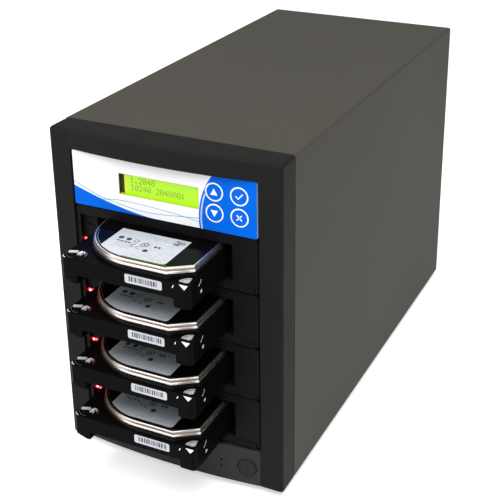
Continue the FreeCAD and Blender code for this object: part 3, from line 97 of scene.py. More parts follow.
# %% Helpers for node trees
def math_node(tree, operation, first, second=0.5):
    """One Math node; each input is a number or a socket."""
    node = tree.nodes.new("ShaderNodeMath")
    node.operation = operation
    for index, value in enumerate((first, second)):
        if isinstance(value, (int, float)):
            node.inputs[index].default_value = value
        else:
            tree.links.new(value, node.inputs[index])
    return node.outputs[0]


def seen_by(tree, *rays):
    """One where either of two kinds of ray looks, and zero elsewhere."""
    paths = tree.nodes.new("ShaderNodeLightPath")
    return math_node(tree, "MAXIMUM", *[paths.outputs[ray] for ray in rays])


# %% Lamps and world
LAMPS = {
    # name: place, size, power
    "lamp_above": ((0.25, -0.55, 1.35), 1.1, 19.0),
    "lamp_left": ((-1.35, -0.9, 0.9), 0.9, 9.5),
    "lamp_right": ((1.5, -0.35, 0.75), 0.9, 1.0),
}
WORLD_LIGHT = 0.48
TOWER_MIDDLE = Vector((0, 0, 0.13))

for name, (place, side, power) in LAMPS.items():
    lamp = bpy.data.lights.new(name, "AREA")
    lamp.energy = power
    lamp.size = side
    holder = bpy.data.objects.new(name, lamp)
    holder.location = place
    holder.rotation_euler = (TOWER_MIDDLE - Vector(place)).to_track_quat("-Z", "Y").to_euler()
    bpy.context.scene.collection.objects.link(holder)

world = bpy.data.worlds.new("studio")
world.use_nodes = True
sky = world.node_tree
backdrop = sky.nodes["Background"]
backdrop.inputs["Color"].default_value = (1, 1, 1, 1)
strength = sky.nodes.new("ShaderNodeMapRange")
strength.inputs["To Min"].default_value = WORLD_LIGHT
strength.inputs["To Max"].default_value = 1.0
sky.links.new(seen_by(sky, "Is Camera Ray", "Is Transmission Ray"), strength.inputs["Value"])
sky.links.new(strength.outputs["Result"], backdrop.inputs["Strength"])
bpy.context.scene.world = world
bpy.context.scene.view_settings.view_transform = "Standard"
print(len(LAMPS), "lamps, world light", WORLD_LIGHT)

# %% [markdown]
# ## The floor
#
# The tower stands on a wide sheet of white paper. A real sheet can be lit until it reads as
# pure white. Here its material adds a little light of its own instead, but only where the
# camera or a mirror image sees it, so it reads as white and still keeps the tower's shadow.

# %% The floor
FLOOR_SIDE = 12.0
FLOOR_DROP = 0.0004
FLOOR_WHITE = 0.92
FLOOR_GLOW = 0.5

bpy.ops.mesh.primitive_plane_add(size=FLOOR_SIDE, location=(0, 0, -FLOOR_DROP))
floor = bpy.context.object
floor.name = "floor"
paper = bpy.data.materials.new("white_paper")
paper.use_nodes = True
paper_tree = paper.node_tree
paper_shader = paper_tree.nodes["Principled BSDF"]
paper_shader.inputs["Base Color"].default_value = (FLOOR_WHITE, FLOOR_WHITE, FLOOR_WHITE, 1)
paper_shader.inputs["Roughness"].default_value = 0.9
paper_shader.inputs["Emission Color"].default_value = (1, 1, 1, 1)
paper_glow = math_node(paper_tree, "MULTIPLY",
                       seen_by(paper_tree, "Is Camera Ray", "Is Glossy Ray"), FLOOR_GLOW)
paper_tree.links.new(paper_glow, paper_shader.inputs["Emission Strength"])
floor.data.materials.append(paper)
print("floor", FLOOR_SIDE, "m wide")

# %% [markdown]
# ## Finishes that several materials share
#
# A surface is never one flat colour. Three effects come back on many of the pieces: the
# grain of moulded plastic and textured paint, the fine scratches that run one way on rolled
# or machined metal, and a slow drift of tone from handling and dust. A fourth group measures
# how far up a drive a point lies. Each is built once as a node group. A group gives out a
# value or a height, and the shader that uses it stays in the material.


# %% Helper for node groups
def new_group(name, inputs, outputs):
    """An empty shader group with named sockets, and its two end nodes."""
    group = bpy.data.node_groups.new(name, "ShaderNodeTree")
    for socket, kind, value in inputs:
        made = group.interface.new_socket(name=socket, in_out="INPUT", socket_type=kind)
        made.default_value = value
    for socket, kind in outputs:
        group.interface.new_socket(name=socket, in_out="OUTPUT", socket_type=kind)
    return group, group.nodes.new("NodeGroupInput"), group.nodes.new("NodeGroupOutput")


# %% Grain: small bumps for moulded plastic and textured paint
def make_grain():
    """Height of a pebbled skin: cells for the pebbles and noise for their sizes."""
    group, start, end = new_group(
        "grain",
        [("Scale", "NodeSocketFloat", 900.0), ("Roughness", "NodeSocketFloat", 0.6)],
        [("Height", "NodeSocketFloat"), ("Tone", "NodeSocketFloat")])
    place = group.nodes.new("ShaderNodeTexCoord")
    noise = group.nodes.new("ShaderNodeTexNoise")
    noise.inputs["Detail"].default_value = 3.0
    group.links.new(place.outputs["Object"], noise.inputs["Vector"])
    group.links.new(start.outputs["Scale"], noise.inputs["Scale"])
    group.links.new(start.outputs["Roughness"], noise.inputs["Roughness"])
    cells = group.nodes.new("ShaderNodeTexVoronoi")
    group.links.new(place.outputs["Object"], cells.inputs["Vector"])
    group.links.new(start.outputs["Scale"], cells.inputs["Scale"])
    height = math_node(group, "MULTIPLY", cells.outputs["Distance"], noise.outputs["Fac"])
    group.links.new(height, end.inputs["Height"])
    group.links.new(noise.outputs["Fac"], end.inputs["Tone"])
    return group


# %% Drift: a slow change of tone over a whole panel
def make_drift():
    """A soft cloud between a low and a high value, for colour or roughness."""
    group, start, end = new_group(
        "drift",
        [("Scale", "NodeSocketFloat", 9.0), ("Low", "NodeSocketFloat", 0.9),
         ("High", "NodeSocketFloat", 1.1)],
        [("Value", "NodeSocketFloat")])
    place = group.nodes.new("ShaderNodeTexCoord")
    noise = group.nodes.new("ShaderNodeTexNoise")
    noise.inputs["Detail"].default_value = 4.0
    group.links.new(place.outputs["Object"], noise.inputs["Vector"])
    group.links.new(start.outputs["Scale"], noise.inputs["Scale"])
    ramp = group.nodes.new("ShaderNodeMapRange")
    ramp.inputs["From Min"].default_value = 0.3
    ramp.inputs["From Max"].default_value = 0.7
    group.links.new(noise.outputs["Fac"], ramp.inputs["Value"])
    group.links.new(start.outputs["Low"], ramp.inputs["To Min"])
    group.links.new(start.outputs["High"], ramp.inputs["To Max"])
    group.links.new(ramp.outputs["Result"], end.inputs["Value"])
    return group


# %% Lines: fine scratches along one direction
def make_lines():
    """Height of straight scratches: noise stretched along X, Y or Z."""
    group, start, end = new_group(
        "lines",
        [("Stretch", "NodeSocketVector", (20.0, 900.0, 900.0))],
        [("Height", "NodeSocketFloat")])
    place = group.nodes.new("ShaderNodeTexCoord")
    stretch = group.nodes.new("ShaderNodeVectorMath")
    stretch.operation = "MULTIPLY"
    group.links.new(place.outputs["Object"], stretch.inputs[0])
    group.links.new(start.outputs["Stretch"], stretch.inputs[1])
    noise = group.nodes.new("ShaderNodeTexNoise")
    noise.inputs["Scale"].default_value = 1.0
    noise.inputs["Detail"].default_value = 2.0
    group.links.new(stretch.outputs[0], noise.inputs["Vector"])
    group.links.new(noise.outputs["Fac"], end.inputs["Height"])
    return group


# %% Height: how far up its own drive a point lies
def make_height():
    """A height over a start level that begins again at every pitch."""
    group, start, end = new_group(
        "height",
        [("Start", "NodeSocketFloat", 0.0), ("Pitch", "NodeSocketFloat", 0.0432),
         ("Reach", "NodeSocketFloat", 0.0075)],
        [("Value", "NodeSocketFloat")])
    place = group.nodes.new("ShaderNodeTexCoord")
    apart = group.nodes.new("ShaderNodeSeparateXYZ")
    group.links.new(place.outputs["Object"], apart.inputs[0])
    above = math_node(group, "SUBTRACT", apart.outputs["Z"], start.outputs["Start"])
    again = math_node(group, "FLOORED_MODULO", above, start.outputs["Pitch"])
    share = math_node(group, "DIVIDE", again, start.outputs["Reach"])
    group.links.new(share, end.inputs["Value"])
    return group


GRAIN = make_grain()
DRIFT = make_drift()
LINES = make_lines()
HEIGHT = make_height()
print("node groups:", [group.name for group in bpy.data.node_groups])

# %% [markdown]
# ## One builder for plain finishes
#
# Paint, plastic, rubber and metal all sit on the same shader and differ in a few numbers.
# This helper sets those numbers on the shader's own sockets, lets the drift group vary the
# colour and the roughness a little, and feeds a grain or scratch height to a Bump node.


# %% The finish builder
def finish(name, colour, roughness, metallic=0.0, grain=None, lines=None, bump=0.2,
           depth=0.00005, drift=(9.0, 0.93, 1.07), coat=0.0, coat_roughness=0.05,
           specular=0.5):
    """A material: one colour that drifts, one roughness, and grain or lines in its bump."""
    material = bpy.data.materials.new(name)
    material.use_nodes = True
    tree = material.node_tree
    shader = tree.nodes["Principled BSDF"]
    shader.inputs["Metallic"].default_value = metallic
    shader.inputs["Specular IOR Level"].default_value = specular
    shader.inputs["Coat Weight"].default_value = coat
    shader.inputs["Coat Roughness"].default_value = coat_roughness
    tone = tree.nodes.new("ShaderNodeGroup")
    tone.node_tree = DRIFT
    for socket, value in zip(("Scale", "Low", "High"), drift):
        tone.inputs[socket].default_value = value
    tint = tree.nodes.new("ShaderNodeMix")
    tint.data_type = "RGBA"
    tint.blend_type = "MULTIPLY"
    tint.inputs["Factor"].default_value = 1.0
    tint.inputs["A"].default_value = (*colour, 1)
    tree.links.new(tone.outputs["Value"], tint.inputs["B"])
    tree.links.new(tint.outputs["Result"], shader.inputs["Base Color"])
    rough = math_node(tree, "MULTIPLY", tone.outputs["Value"], roughness)
    tree.links.new(rough, shader.inputs["Roughness"])
    if grain or lines:
        relief = tree.nodes.new("ShaderNodeGroup")
        relief.node_tree = GRAIN if grain else LINES
        if grain:
            relief.inputs["Scale"].default_value = grain
        else:
            relief.inputs["Stretch"].default_value = lines
        dent = tree.nodes.new("ShaderNodeBump")
        dent.inputs["Strength"].default_value = bump
        dent.inputs["Distance"].default_value = depth
        tree.links.new(relief.outputs["Height"], dent.inputs["Height"])
        tree.links.new(dent.outputs["Normal"], shader.inputs["Normal"])
    return material


def wear(material, *names):
    """Give a finish to solids by name."""
    for name in names:
        solid = nodes[name].data
        for index in range(len(solid.materials)):
            solid.materials[index] = material
        if not solid.materials:
            solid.materials.append(material)


def each(name):
    """The same solid of every drive bay."""
    return ["%s_%d" % (name, number) for number in DRIVES]


# %% [markdown]
# ## Steel, paint and plastic of the tower
#
# The cover is steel sheet with a fine textured paint in a warm dark grey. The moulded front
# is a cooler black plastic with a soft grain, and the panel under the bays is the same
# plastic in a lighter grey. The rack faces behind it have a coarser, pebbled grain and are
# the darkest. The rack shells get that darkest plastic as painted shade inside the bays. The
# bay cage inside is zinc plated, which looks like rolled steel with faint lines, and the
# sheets at the back are painted. The chassis tray gets their dark paint as painted shade
# behind the seam between the front and the cover.

# %% Finishes of the tower
cover_paint = finish("cover_paint", (0.058, 0.054, 0.045), 0.55, grain=1500.0, bump=0.25,
                     drift=(6.0, 0.95, 1.06), specular=0.08)
bezel_plastic = finish("bezel_plastic", (0.012, 0.012, 0.0115), 0.55, grain=1800.0, bump=0.2,
                       specular=0.06)
panel_plastic = finish("panel_plastic", (0.030, 0.030, 0.030), 0.5, grain=1800.0, bump=0.2,
                       specular=0.1)
rack_plastic = finish("rack_plastic", (0.006, 0.006, 0.007), 0.5, grain=700.0, bump=0.5,
                      depth=0.0001, specular=0.06)
zinc_plate = finish("zinc_plate", (0.56, 0.56, 0.55), 0.38, metallic=1.0,
                    lines=(900.0, 30.0, 900.0), bump=0.15)
back_paint = finish("back_paint", (0.05, 0.05, 0.05), 0.45, grain=1500.0, bump=0.25)
supply_plate = finish("supply_plate", (0.60, 0.60, 0.59), 0.34, metallic=1.0,
                      lines=(30.0, 900.0, 900.0), bump=0.15)
button_plastic = finish("button_plastic", (0.022, 0.022, 0.022), 0.4, grain=2500.0, bump=0.1,
                        specular=0.08)
fan_plastic = finish("fan_plastic", (0.016, 0.016, 0.017), 0.42, grain=1500.0, bump=0.1)
guard_chrome = finish("guard_chrome", (0.75, 0.75, 0.76), 0.14, metallic=1.0)
socket_plastic = finish("socket_plastic", (0.015, 0.015, 0.015), 0.4, grain=1500.0, bump=0.1)
rocker_plastic = finish("rocker_plastic", (0.014, 0.014, 0.014), 0.22)
screw_zinc = finish("screw_zinc", (0.6, 0.6, 0.6), 0.3, metallic=1.0,
                    lines=(900.0, 900.0, 30.0), bump=0.1)
screw_black = finish("screw_black", (0.02, 0.02, 0.02), 0.35)
foot_rubber = finish("foot_rubber", (0.015, 0.015, 0.015), 0.8, grain=1200.0)
board_green = finish("board_green", (0.012, 0.085, 0.030), 0.35, lines=(260.0, 240.0, 260.0),
                     bump=0.2)

wear(cover_paint, "case_cover")
wear(bezel_plastic, "front_bezel")
wear(panel_plastic, "lower_front_panel")
wear(rack_plastic, *each("rack_bezel"))
wear(zinc_plate, "bay_cage", "control_bracket")
# Painted shade: the rack shells get the darkest plastic so the bays read dark inside.
wear(rack_plastic, *each("rack_shell"))
# Painted shade: the chassis tray shares the rear panel's dark paint, so the seam between the front
# and the cover reads dark.
wear(back_paint, "rear_panel", "chassis_tray")
wear(supply_plate, "power_supply_case")
wear(button_plastic, "power_button")
wear(fan_plastic, "case_fan_frame", "case_fan_rotor", "supply_fan_frame", "supply_fan_rotor")
wear(guard_chrome, "fan_guard")
wear(socket_plastic, "power_inlet", "rocker_housing")
wear(rocker_plastic, "power_rocker")
wear(screw_zinc, "cover_screws", "bay_screws")
wear(screw_black, "fan_screws")
wear(foot_rubber, "feet")
wear(board_green, "keypad_board", "front_switch_board", "controller_board", "display_module",
     *each("rack_board"), *each("drive_board"))
print("tower dressed")

# %% [markdown]
# ## Finishes of the drives and the panel
#
# A drive's casting is painted black and only its milled spots, its painted highlights and the
# rim of its lid are bright. The lid's top is a black mirror. The panel is a white film with
# blue print. The lamps and the display give light, so their shaders have an emission colour.


# %% Finishes that give light
def lit(name, colour, glow, strength, roughness=0.3):
    """A finish that gives light as well."""
    material = finish(name, colour, roughness, drift=(9.0, 0.98, 1.02))
    shader = material.node_tree.nodes["Principled BSDF"]
    shader.inputs["Emission Color"].default_value = (*glow, 1)
    shader.inputs["Emission Strength"].default_value = strength
    return material


# %% Finishes of the drives and the panel
casting_black = finish("casting_black", (0.003, 0.003, 0.003), 0.3, grain=1300.0, bump=0.1,
                       specular=0.02)
rim_metal = finish("rim_metal", (0.82, 0.76, 0.70), 0.32, metallic=1.0,
                   lines=(30.0, 30.0, 1500.0), bump=0.08)
lid_black = finish("lid_black", (0.002, 0.002, 0.002), 0.12, drift=(9.0, 1.0, 1.0),
                   specular=0.03)
milled_metal = finish("milled_metal", (0.88, 0.87, 0.86), 0.32, metallic=0.3,
                      lines=(700.0, 60.0, 700.0), bump=0.2)
label_paper = finish("label_paper", (0.50, 0.52, 0.57), 0.4, drift=(30.0, 0.94, 1.06), coat=1.0,
                     coat_roughness=0.1)
label_ink = finish("label_ink", (0.03, 0.03, 0.035), 0.5)
label_grey = finish("label_grey", (0.28, 0.28, 0.32), 0.5)
film_white = finish("film_white", (0.94, 0.94, 0.95), 0.45, drift=(12.0, 0.99, 1.01),
                    specular=0.3)
film_blue = finish("film_blue", (0.0004, 0.135, 0.74), 0.5, drift=(12.0, 0.98, 1.02),
                   specular=0.04)
film_cyan = finish("film_cyan", (0.06, 0.38, 0.68), 0.45, drift=(12.0, 0.99, 1.01),
                   specular=0.2)
film_orange = finish("film_orange", (0.42, 0.16, 0.02), 0.5, drift=(12.0, 0.99, 1.01),
                     specular=0.2)
display_lime = lit("display_lime", (0.25, 0.50, 0.001), (0.50, 0.90, 0.0), 0.45)
display_yellow = lit("display_yellow", (0.42, 0.46, 0.001), (0.82, 0.88, 0.0), 0.45)
display_dark = finish("display_dark", (0.03, 0.055, 0.008), 0.3)
display_black = finish("display_black", (0.004, 0.004, 0.004), 0.4)
display_ink = finish("display_ink", (0.09, 0.20, 0.015), 0.5)
lamp_red = lit("lamp_red", (0.8, 0.02, 0.02), (1.0, 0.02, 0.03), 8.0)
lamp_core = lit("lamp_core", (1.0, 0.4, 0.4), (1.0, 0.45, 0.45), 6.0)

print("finishes:", len(bpy.data.materials))

# %% [markdown]
# ## The rim of the lid
#
# A drive's lid is a thin metal cover, turned bright round its edge. Bright bands run right
# round between fine dark lines, both lighter higher up, and the lower two fifths of the wall
# are black. A ramp over the height draws both: hard bands of colour, and beside them hard
# bands that say where the surface is metal. The height starts again at each drive.

# %% The rim's bands
RIM_BANDS = (
    # share of the rim's height, colour, metal
    (0.0, (0.003, 0.003, 0.003), 0.0), (0.42, (0.10, 0.08, 0.07), 1.0),
    (0.46, (0.82, 0.79, 0.76), 1.0), (0.57, (0.30, 0.22, 0.18), 1.0),
    (0.60, (0.86, 0.83, 0.81), 1.0), (0.71, (0.36, 0.28, 0.24), 1.0),
    (0.755, (0.88, 0.86, 0.84), 1.0), (0.86, (0.42, 0.35, 0.31), 1.0),
    (0.90, (0.94, 0.93, 0.92), 1.0))


def band_ramp(tree, height, shades):
    """A ramp of hard bands over the height."""
    ramp = tree.nodes.new("ShaderNodeValToRGB")
    ramp.color_ramp.interpolation = "CONSTANT"
    steps = ramp.color_ramp.elements
    while len(steps) < len(shades):
        steps.new(1.0)
    for step, (share, shade) in zip(steps, shades):
        step.position = share
        step.color = shade
    tree.links.new(height, ramp.inputs[0])
    return ramp.outputs["Color"]


def make_rim():
    """The lid's wall: black paint low down, then bright metal between dark fine lines."""
    material = finish("lid_rim", (1, 1, 1), 0.3, lines=(30.0, 30.0, 1500.0), bump=0.08,
                      specular=0.05)
    tree = material.node_tree
    shader = tree.nodes["Principled BSDF"]
    level = tree.nodes.new("ShaderNodeGroup")
    level.node_tree = HEIGHT
    low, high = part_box("drive_lid_4")
    level.inputs["Start"].default_value = low.z
    level.inputs["Pitch"].default_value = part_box("drive_lid_3")[0].z - low.z
    level.inputs["Reach"].default_value = high.z - low.z
    colours = band_ramp(tree, level.outputs["Value"],
                        [(share, (*colour, 1)) for share, colour, _ in RIM_BANDS])
    metals = band_ramp(tree, level.outputs["Value"],
                       [(share, (metal, metal, metal, 1)) for share, _, metal in RIM_BANDS])
    tree.links.new(colours, shader.inputs["Base Color"])
    tree.links.new(metals, shader.inputs["Metallic"])
    return material


lid_rim = make_rim()

# %% Dress the drives and the panel
wear(casting_black, *each("drive_body"))
wear(lid_rim, *each("drive_lid"))
wear(film_white, "control_plate")
wear(film_blue, *KEYS)
wear(display_lime, "display_glass")
wear(lamp_red, *each("rack_lamps"))
print("drives and panel dressed")

# %% [markdown]
# ## Flat printed pieces
#
# Films, labels, bars and rings are all thin flat shapes, some with holes in them. Blender
# fills a closed 2D curve and leaves the holes of the curves inside it open, so an outline
# is enough: we draw the loops, give them a hair of thickness and turn the result to a mesh.
# Outlines are lists of points in millimetres, and round parts come from a formula. Every
# piece is turned to one of three faces and moves with the body that carries it.


# %% Outlines
def circle(x, y, radius, count=48):
    """A ring of points."""
    step = math.tau / count
    return [(x + radius * math.cos(i * step), y + radius * math.sin(i * step))
            for i in range(count)]


def box_outline(x0, x1, y0, y1, radius=0.0, count=6):
    """A rectangle, with round corners where a radius is given."""
    if not radius:
        return [(x0, y0), (x1, y0), (x1, y1), (x0, y1)]
    points = []
    corners = ((x1 - radius, y0 + radius, -90), (x1 - radius, y1 - radius, 0),
               (x0 + radius, y1 - radius, 90), (x0 + radius, y0 + radius, 180))
    for x, y, start in corners:
        for i in range(count + 1):
            angle = math.radians(start + 90 * i / count)
            points.append((x + radius * math.cos(angle), y + radius * math.sin(angle)))
    return points


def arc(x, y, radius, start, stop, count=24):
    """Points along an arc, from one angle to another in degrees."""
    angles = [math.radians(start + (stop - start) * i / count) for i in range(count + 1)]
    return [(x + radius * math.cos(a), y + radius * math.sin(a)) for a in angles]


def stripe(points, width):
    """A band of even width along an open line of points."""
    left, right = [], []
    for i, (x, y) in enumerate(points):
        ax, ay = points[max(i - 1, 0)]
        bx, by = points[min(i + 1, len(points) - 1)]
        length = math.hypot(bx - ax, by - ay)
        nx, ny = (ay - by) / length * width / 2, (bx - ax) / length * width / 2
        left.append((x + nx, y + ny))
        right.append((x - nx, y - ny))
    return left + right[::-1]


# %% From outlines to a thin solid
FRONT = Matrix(((1, 0, 0), (0, 0, -1), (0, 1, 0)))
SIDE = Matrix(((0, 0, 1), (1, 0, 0), (0, 1, 0)))
TOP = Matrix.Identity(3)


def printed(name, loops, at, face, thickness, material, body):
    """A thin flat piece: loops in mm on one of the faces, standing on a point."""
    curve = bpy.data.curves.new(name, "CURVE")
    curve.dimensions = "2D"
    curve.fill_mode = "BOTH"
    curve.extrude = thickness * MM / 2
    for loop in loops:
        spline = curve.splines.new("POLY")
        spline.points.add(len(loop) - 1)
        for point, (x, y) in zip(spline.points, loop):
            point.co = (x * MM, y * MM, 0, 1)
        spline.use_cyclic_u = True
    drawn = bpy.data.objects.new(name + "_curve", curve)
    bpy.context.scene.collection.objects.link(drawn)
    bpy.context.view_layer.update()
    mesh = bpy.data.meshes.new_from_object(drawn)
    bpy.data.objects.remove(drawn)
    normal = face @ Vector((0, 0, thickness * MM / 2))
    mesh.transform(Matrix.Translation(Vector(at) + normal) @ face.to_4x4())
    mesh.name = name
    mesh.materials.clear()
    mesh.materials.append(material)
    piece = bpy.data.objects.new(name, mesh)
    bpy.context.scene.collection.objects.link(piece)
    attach(piece, body)


# %% [markdown]
# ## The printed panel
#
# The plate carries a film: white on the left, with a blue field on the right that has an
# arc for its edge, a blue wedge in the lower left corner, and a few thin cyan curves. White
# rings mark the keys. Such a film is screen printed, one colour over another, so each colour
# is a shape of its own, one ink's thickness above the last. The edges are formulas and the
# curves run through a few points, so a shape can be widened or moved by changing a number.

# %% Places on the plate
plate_low, plate_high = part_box("control_plate")
PLATE_AT = Vector(((plate_low.x + plate_high.x) / 2, plate_low.y, plate_low.z))
PLATE_WIDE = (plate_high.x - plate_low.x) / MM
PLATE_TALL = 42.2
PLATE_CORNER = 1.0
INK = 0.06
half_plate = PLATE_WIDE / 2
key_spots = {}
for key in KEYS:
    low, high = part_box(key)
    key_spots[key] = ((low.x + high.x) / 2 / MM - PLATE_AT.x / MM,
                      (low.z + high.z) / 2 / MM - PLATE_AT.z / MM)
KEY_HOLE = 5.85
KEY_RING = 6.95
glass_low, glass_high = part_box("display_glass")
WINDOW_GROW = 0.5
window = ((glass_low.x - PLATE_AT.x) / MM + WINDOW_GROW,
          (glass_high.x - PLATE_AT.x) / MM - WINDOW_GROW,
          (glass_low.z - PLATE_AT.z) / MM + WINDOW_GROW,
          (glass_high.z - PLATE_AT.z) / MM - WINDOW_GROW)
print("keys at", key_spots, "window", window)


# %% The film's print
FIELD_CENTRE = (86.0, 7.5)
FIELD_RADIUS = 57.0


def blue_edge(height, inward=0.0):
    """X of the blue field's edge: a wide arc that just clears the display's lower corner."""
    x, z = FIELD_CENTRE
    return x - math.sqrt((FIELD_RADIUS - inward) ** 2 - (height - z) ** 2)


def flow(points, steps=8):
    """A smooth open line through a few points, by Catmull and Rom's formula."""
    ends = [points[0]] + list(points) + [points[-1]]
    line = []
    for before, start, stop, after in zip(ends, ends[1:], ends[2:], ends[3:]):
        for i in range(steps):
            t = i / steps
            line.append(tuple(
                0.5 * (2 * b + (c - a) * t + (2 * a - 5 * b + 4 * c - d) * t * t
                       + (3 * b - a - 3 * c + d) * t ** 3)
                for a, b, c, d in zip(before, start, stop, after)))
    return line + [points[-1]]


EDGE_STEPS = 30
WEDGE_HEIGHT = 14.6
WEDGE_END = -7.0
WEDGE_BEND = 1.55
LINE_INWARD = 1.9
LINE_BELOW_KEY = 2.0
LINE_WIDE = 1.0
LINE_CORE = 0.32
WAVE_WIDE = (0.5, 0.34, 0.34)
THIN_LINES = (
    [(-74.0, 17.9), (-64.0, 13.7), (-54.0, 10.0), (-45.0, 7.9)],
    [(-50.0, 7.4), (-46.0, 8.2), (-40.0, 9.1), (-29.0, 9.5), (-19.0, 9.1), (-9.0, 8.7),
     (1.0, 7.9), (11.0, 7.1), (21.0, 6.0), (29.0, 4.6)],
    [(-46.0, 8.3), (-39.0, 6.9), (-29.0, 5.2), (-19.0, 4.2), (-9.0, 4.0), (1.0, 4.6),
     (11.0, 5.6), (21.0, 6.7), (29.0, 7.5)])


def plate_print():
    """Every printed shape on the plate."""
    heights = [PLATE_TALL * i / EDGE_STEPS for i in range(EDGE_STEPS + 1)]
    edge = [(blue_edge(height), height) for height in heights]
    near = PLATE_CORNER
    field = edge + arc(half_plate - near, PLATE_TALL - near, near, 90, 0, 5)
    field += arc(half_plate - near, near, near, 0, -90, 5)
    holes = [circle(x, z, KEY_HOLE) for x, z in key_spots.values()]
    printed("blue_field", [field] + holes, PLATE_AT, FRONT, INK, film_blue, "chassis")
    wide = [-half_plate + (half_plate + WEDGE_END) * i / EDGE_STEPS
            for i in range(EDGE_STEPS + 1)]
    curve = [(x, WEDGE_HEIGHT * ((WEDGE_END - x) / (WEDGE_END + half_plate)) ** WEDGE_BEND)
             for x in wide]
    printed("blue_wedge", [curve + arc(near - half_plate, near, near, -90, -180, 5)], PLATE_AT,
            FRONT, INK, film_blue, "chassis")
    lift = Vector((0, -INK * MM, 0))
    rings = []
    for x, z in key_spots.values():
        rings += [circle(x, z, KEY_RING), circle(x, z, KEY_HOLE)]
    printed("key_rings", rings, PLATE_AT + lift, FRONT, INK, film_white, "chassis")
    line_end = key_spots["key_up"][1] - LINE_BELOW_KEY
    beside = [(blue_edge(height, LINE_INWARD), height) for height in heights
              if height < line_end]
    printed("field_line", [stripe(beside, LINE_WIDE)], PLATE_AT + lift, FRONT, INK, film_white,
            "chassis")
    printed("field_line_core", [stripe(beside, LINE_CORE)], PLATE_AT + lift * 2, FRONT, INK,
            film_cyan, "chassis")
    for number, (points, width) in enumerate(zip(THIN_LINES, WAVE_WIDE)):
        printed("wave_%d" % number, [stripe(flow(points), width)], PLATE_AT + lift, FRONT, INK,
                film_cyan, "chassis")


plate_print()

# %% [markdown]
# ## Marks on the keys
#
# The two left keys carry arrows, the right ones a tick and a cross: plain signs for yes and
# no. On a real key they are printed or moulded in a second colour. Here they are thin white
# shapes that ride on their keys, so they go in with them.

# %% Key marks
MARK = 0.08
MARK_SEAT = 0.05
MARK_WIDE = 0.95
KEY_BODIES = {"key_up": "up_key", "key_down": "down_key", "key_enter": "enter_key",
              "key_escape": "escape_key"}


def key_marks():
    """An arrow up, an arrow down, a tick and a cross."""
    arrow = [(-2.8, -2.2), (2.8, -2.2), (0, 2.7)]
    down = [(x, -z) for x, z in arrow][::-1]
    tick = stripe([(-2.6, 0.1), (-0.8, -1.9), (2.8, 2.1)], MARK_WIDE)
    marks = {"key_up_mark": arrow, "key_down_mark": down, "key_enter_mark": tick,
             "key_escape_mark_0": stripe([(-2.0, -2.0), (2.0, 2.0)], MARK_WIDE),
             "key_escape_mark_1": stripe([(-2.0, 2.0), (2.0, -2.0)], MARK_WIDE)}
    for name, shape in marks.items():
        key = name[:name.index("_mark")]
        low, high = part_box(key)
        at = Vector(((low.x + high.x) / 2, low.y - MARK_SEAT * MM, (low.z + high.z) / 2))
        printed(name, [shape], at, FRONT, MARK, film_white, KEY_BODIES[key])


key_marks()

# %% [markdown]
# ## The display
#
# A character display shows its signs as small dots, five across and seven down. We keep the
# dot rows of each digit as five-bit numbers and lay a small square for each set bit. The
# display shows plain numbers.

# %% Dots of the display
DIGITS = {
    "0": (14, 17, 19, 21, 25, 17, 14), "1": (4, 12, 4, 4, 4, 4, 14),
    "2": (14, 17, 1, 2, 4, 8, 31), "3": (31, 2, 4, 2, 1, 17, 14),
    "4": (2, 6, 10, 18, 31, 2, 2), "5": (31, 16, 30, 1, 1, 17, 14),
    "6": (6, 8, 16, 30, 17, 17, 14), "7": (31, 1, 2, 4, 8, 8, 8),
    "8": (14, 17, 17, 14, 17, 17, 14), "9": (14, 17, 17, 15, 1, 2, 12),
    ".": (0, 0, 0, 0, 0, 12, 12), ":": (0, 12, 12, 0, 12, 12, 0)}
DOT = 0.50
DOT_PITCH = (0.58, 0.67)
SIGN_PITCH = 3.45
LINES_LEFT = 8.2
LINES_SHOWN = (("1.2048", 13.2), ("10240 204800:", 7.5))
GLASS_LIFT = 0.06


def display_dots():
    """One mesh of small squares, in front of the glass."""
    mesh = bpy.data.meshes.new("display_dots")
    build = bmesh.new()
    left = window[0] + LINES_LEFT
    y = glass_low.y - GLASS_LIFT * MM
    for text, rise in LINES_SHOWN:
        for place, sign in enumerate(text):
            for row, bits in enumerate(DIGITS.get(sign, ())):
                for column in range(5):
                    if bits >> (4 - column) & 1:
                        x = left + place * SIGN_PITCH + column * DOT_PITCH[0]
                        z = window[2] + rise - row * DOT_PITCH[1]
                        corners = [(x, z), (x + DOT, z), (x + DOT, z + DOT), (x, z + DOT)]
                        build.faces.new([build.verts.new((PLATE_AT.x + cx * MM, y,
                                                          PLATE_AT.z + cz * MM))
                                         for cx, cz in corners])
    build.to_mesh(mesh)
    build.free()
    mesh.materials.append(display_ink)
    dots = bpy.data.objects.new("display_dots", mesh)
    bpy.context.scene.collection.objects.link(dots)
    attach(dots, "chassis")


display_dots()

# %% [markdown]
# ## The display's window
#
# The glass lies behind the plate. At its left end a dark olive strip is painted as the shadow
# of the window's left wall, and beside it come a dark seam and a brighter strip of the light
# behind it. The cut edge of the plate glows lime on three sides as painted light from the
# display, and its left side is painted dark as shade. They are strips on the glass and thin
# walls in the window.

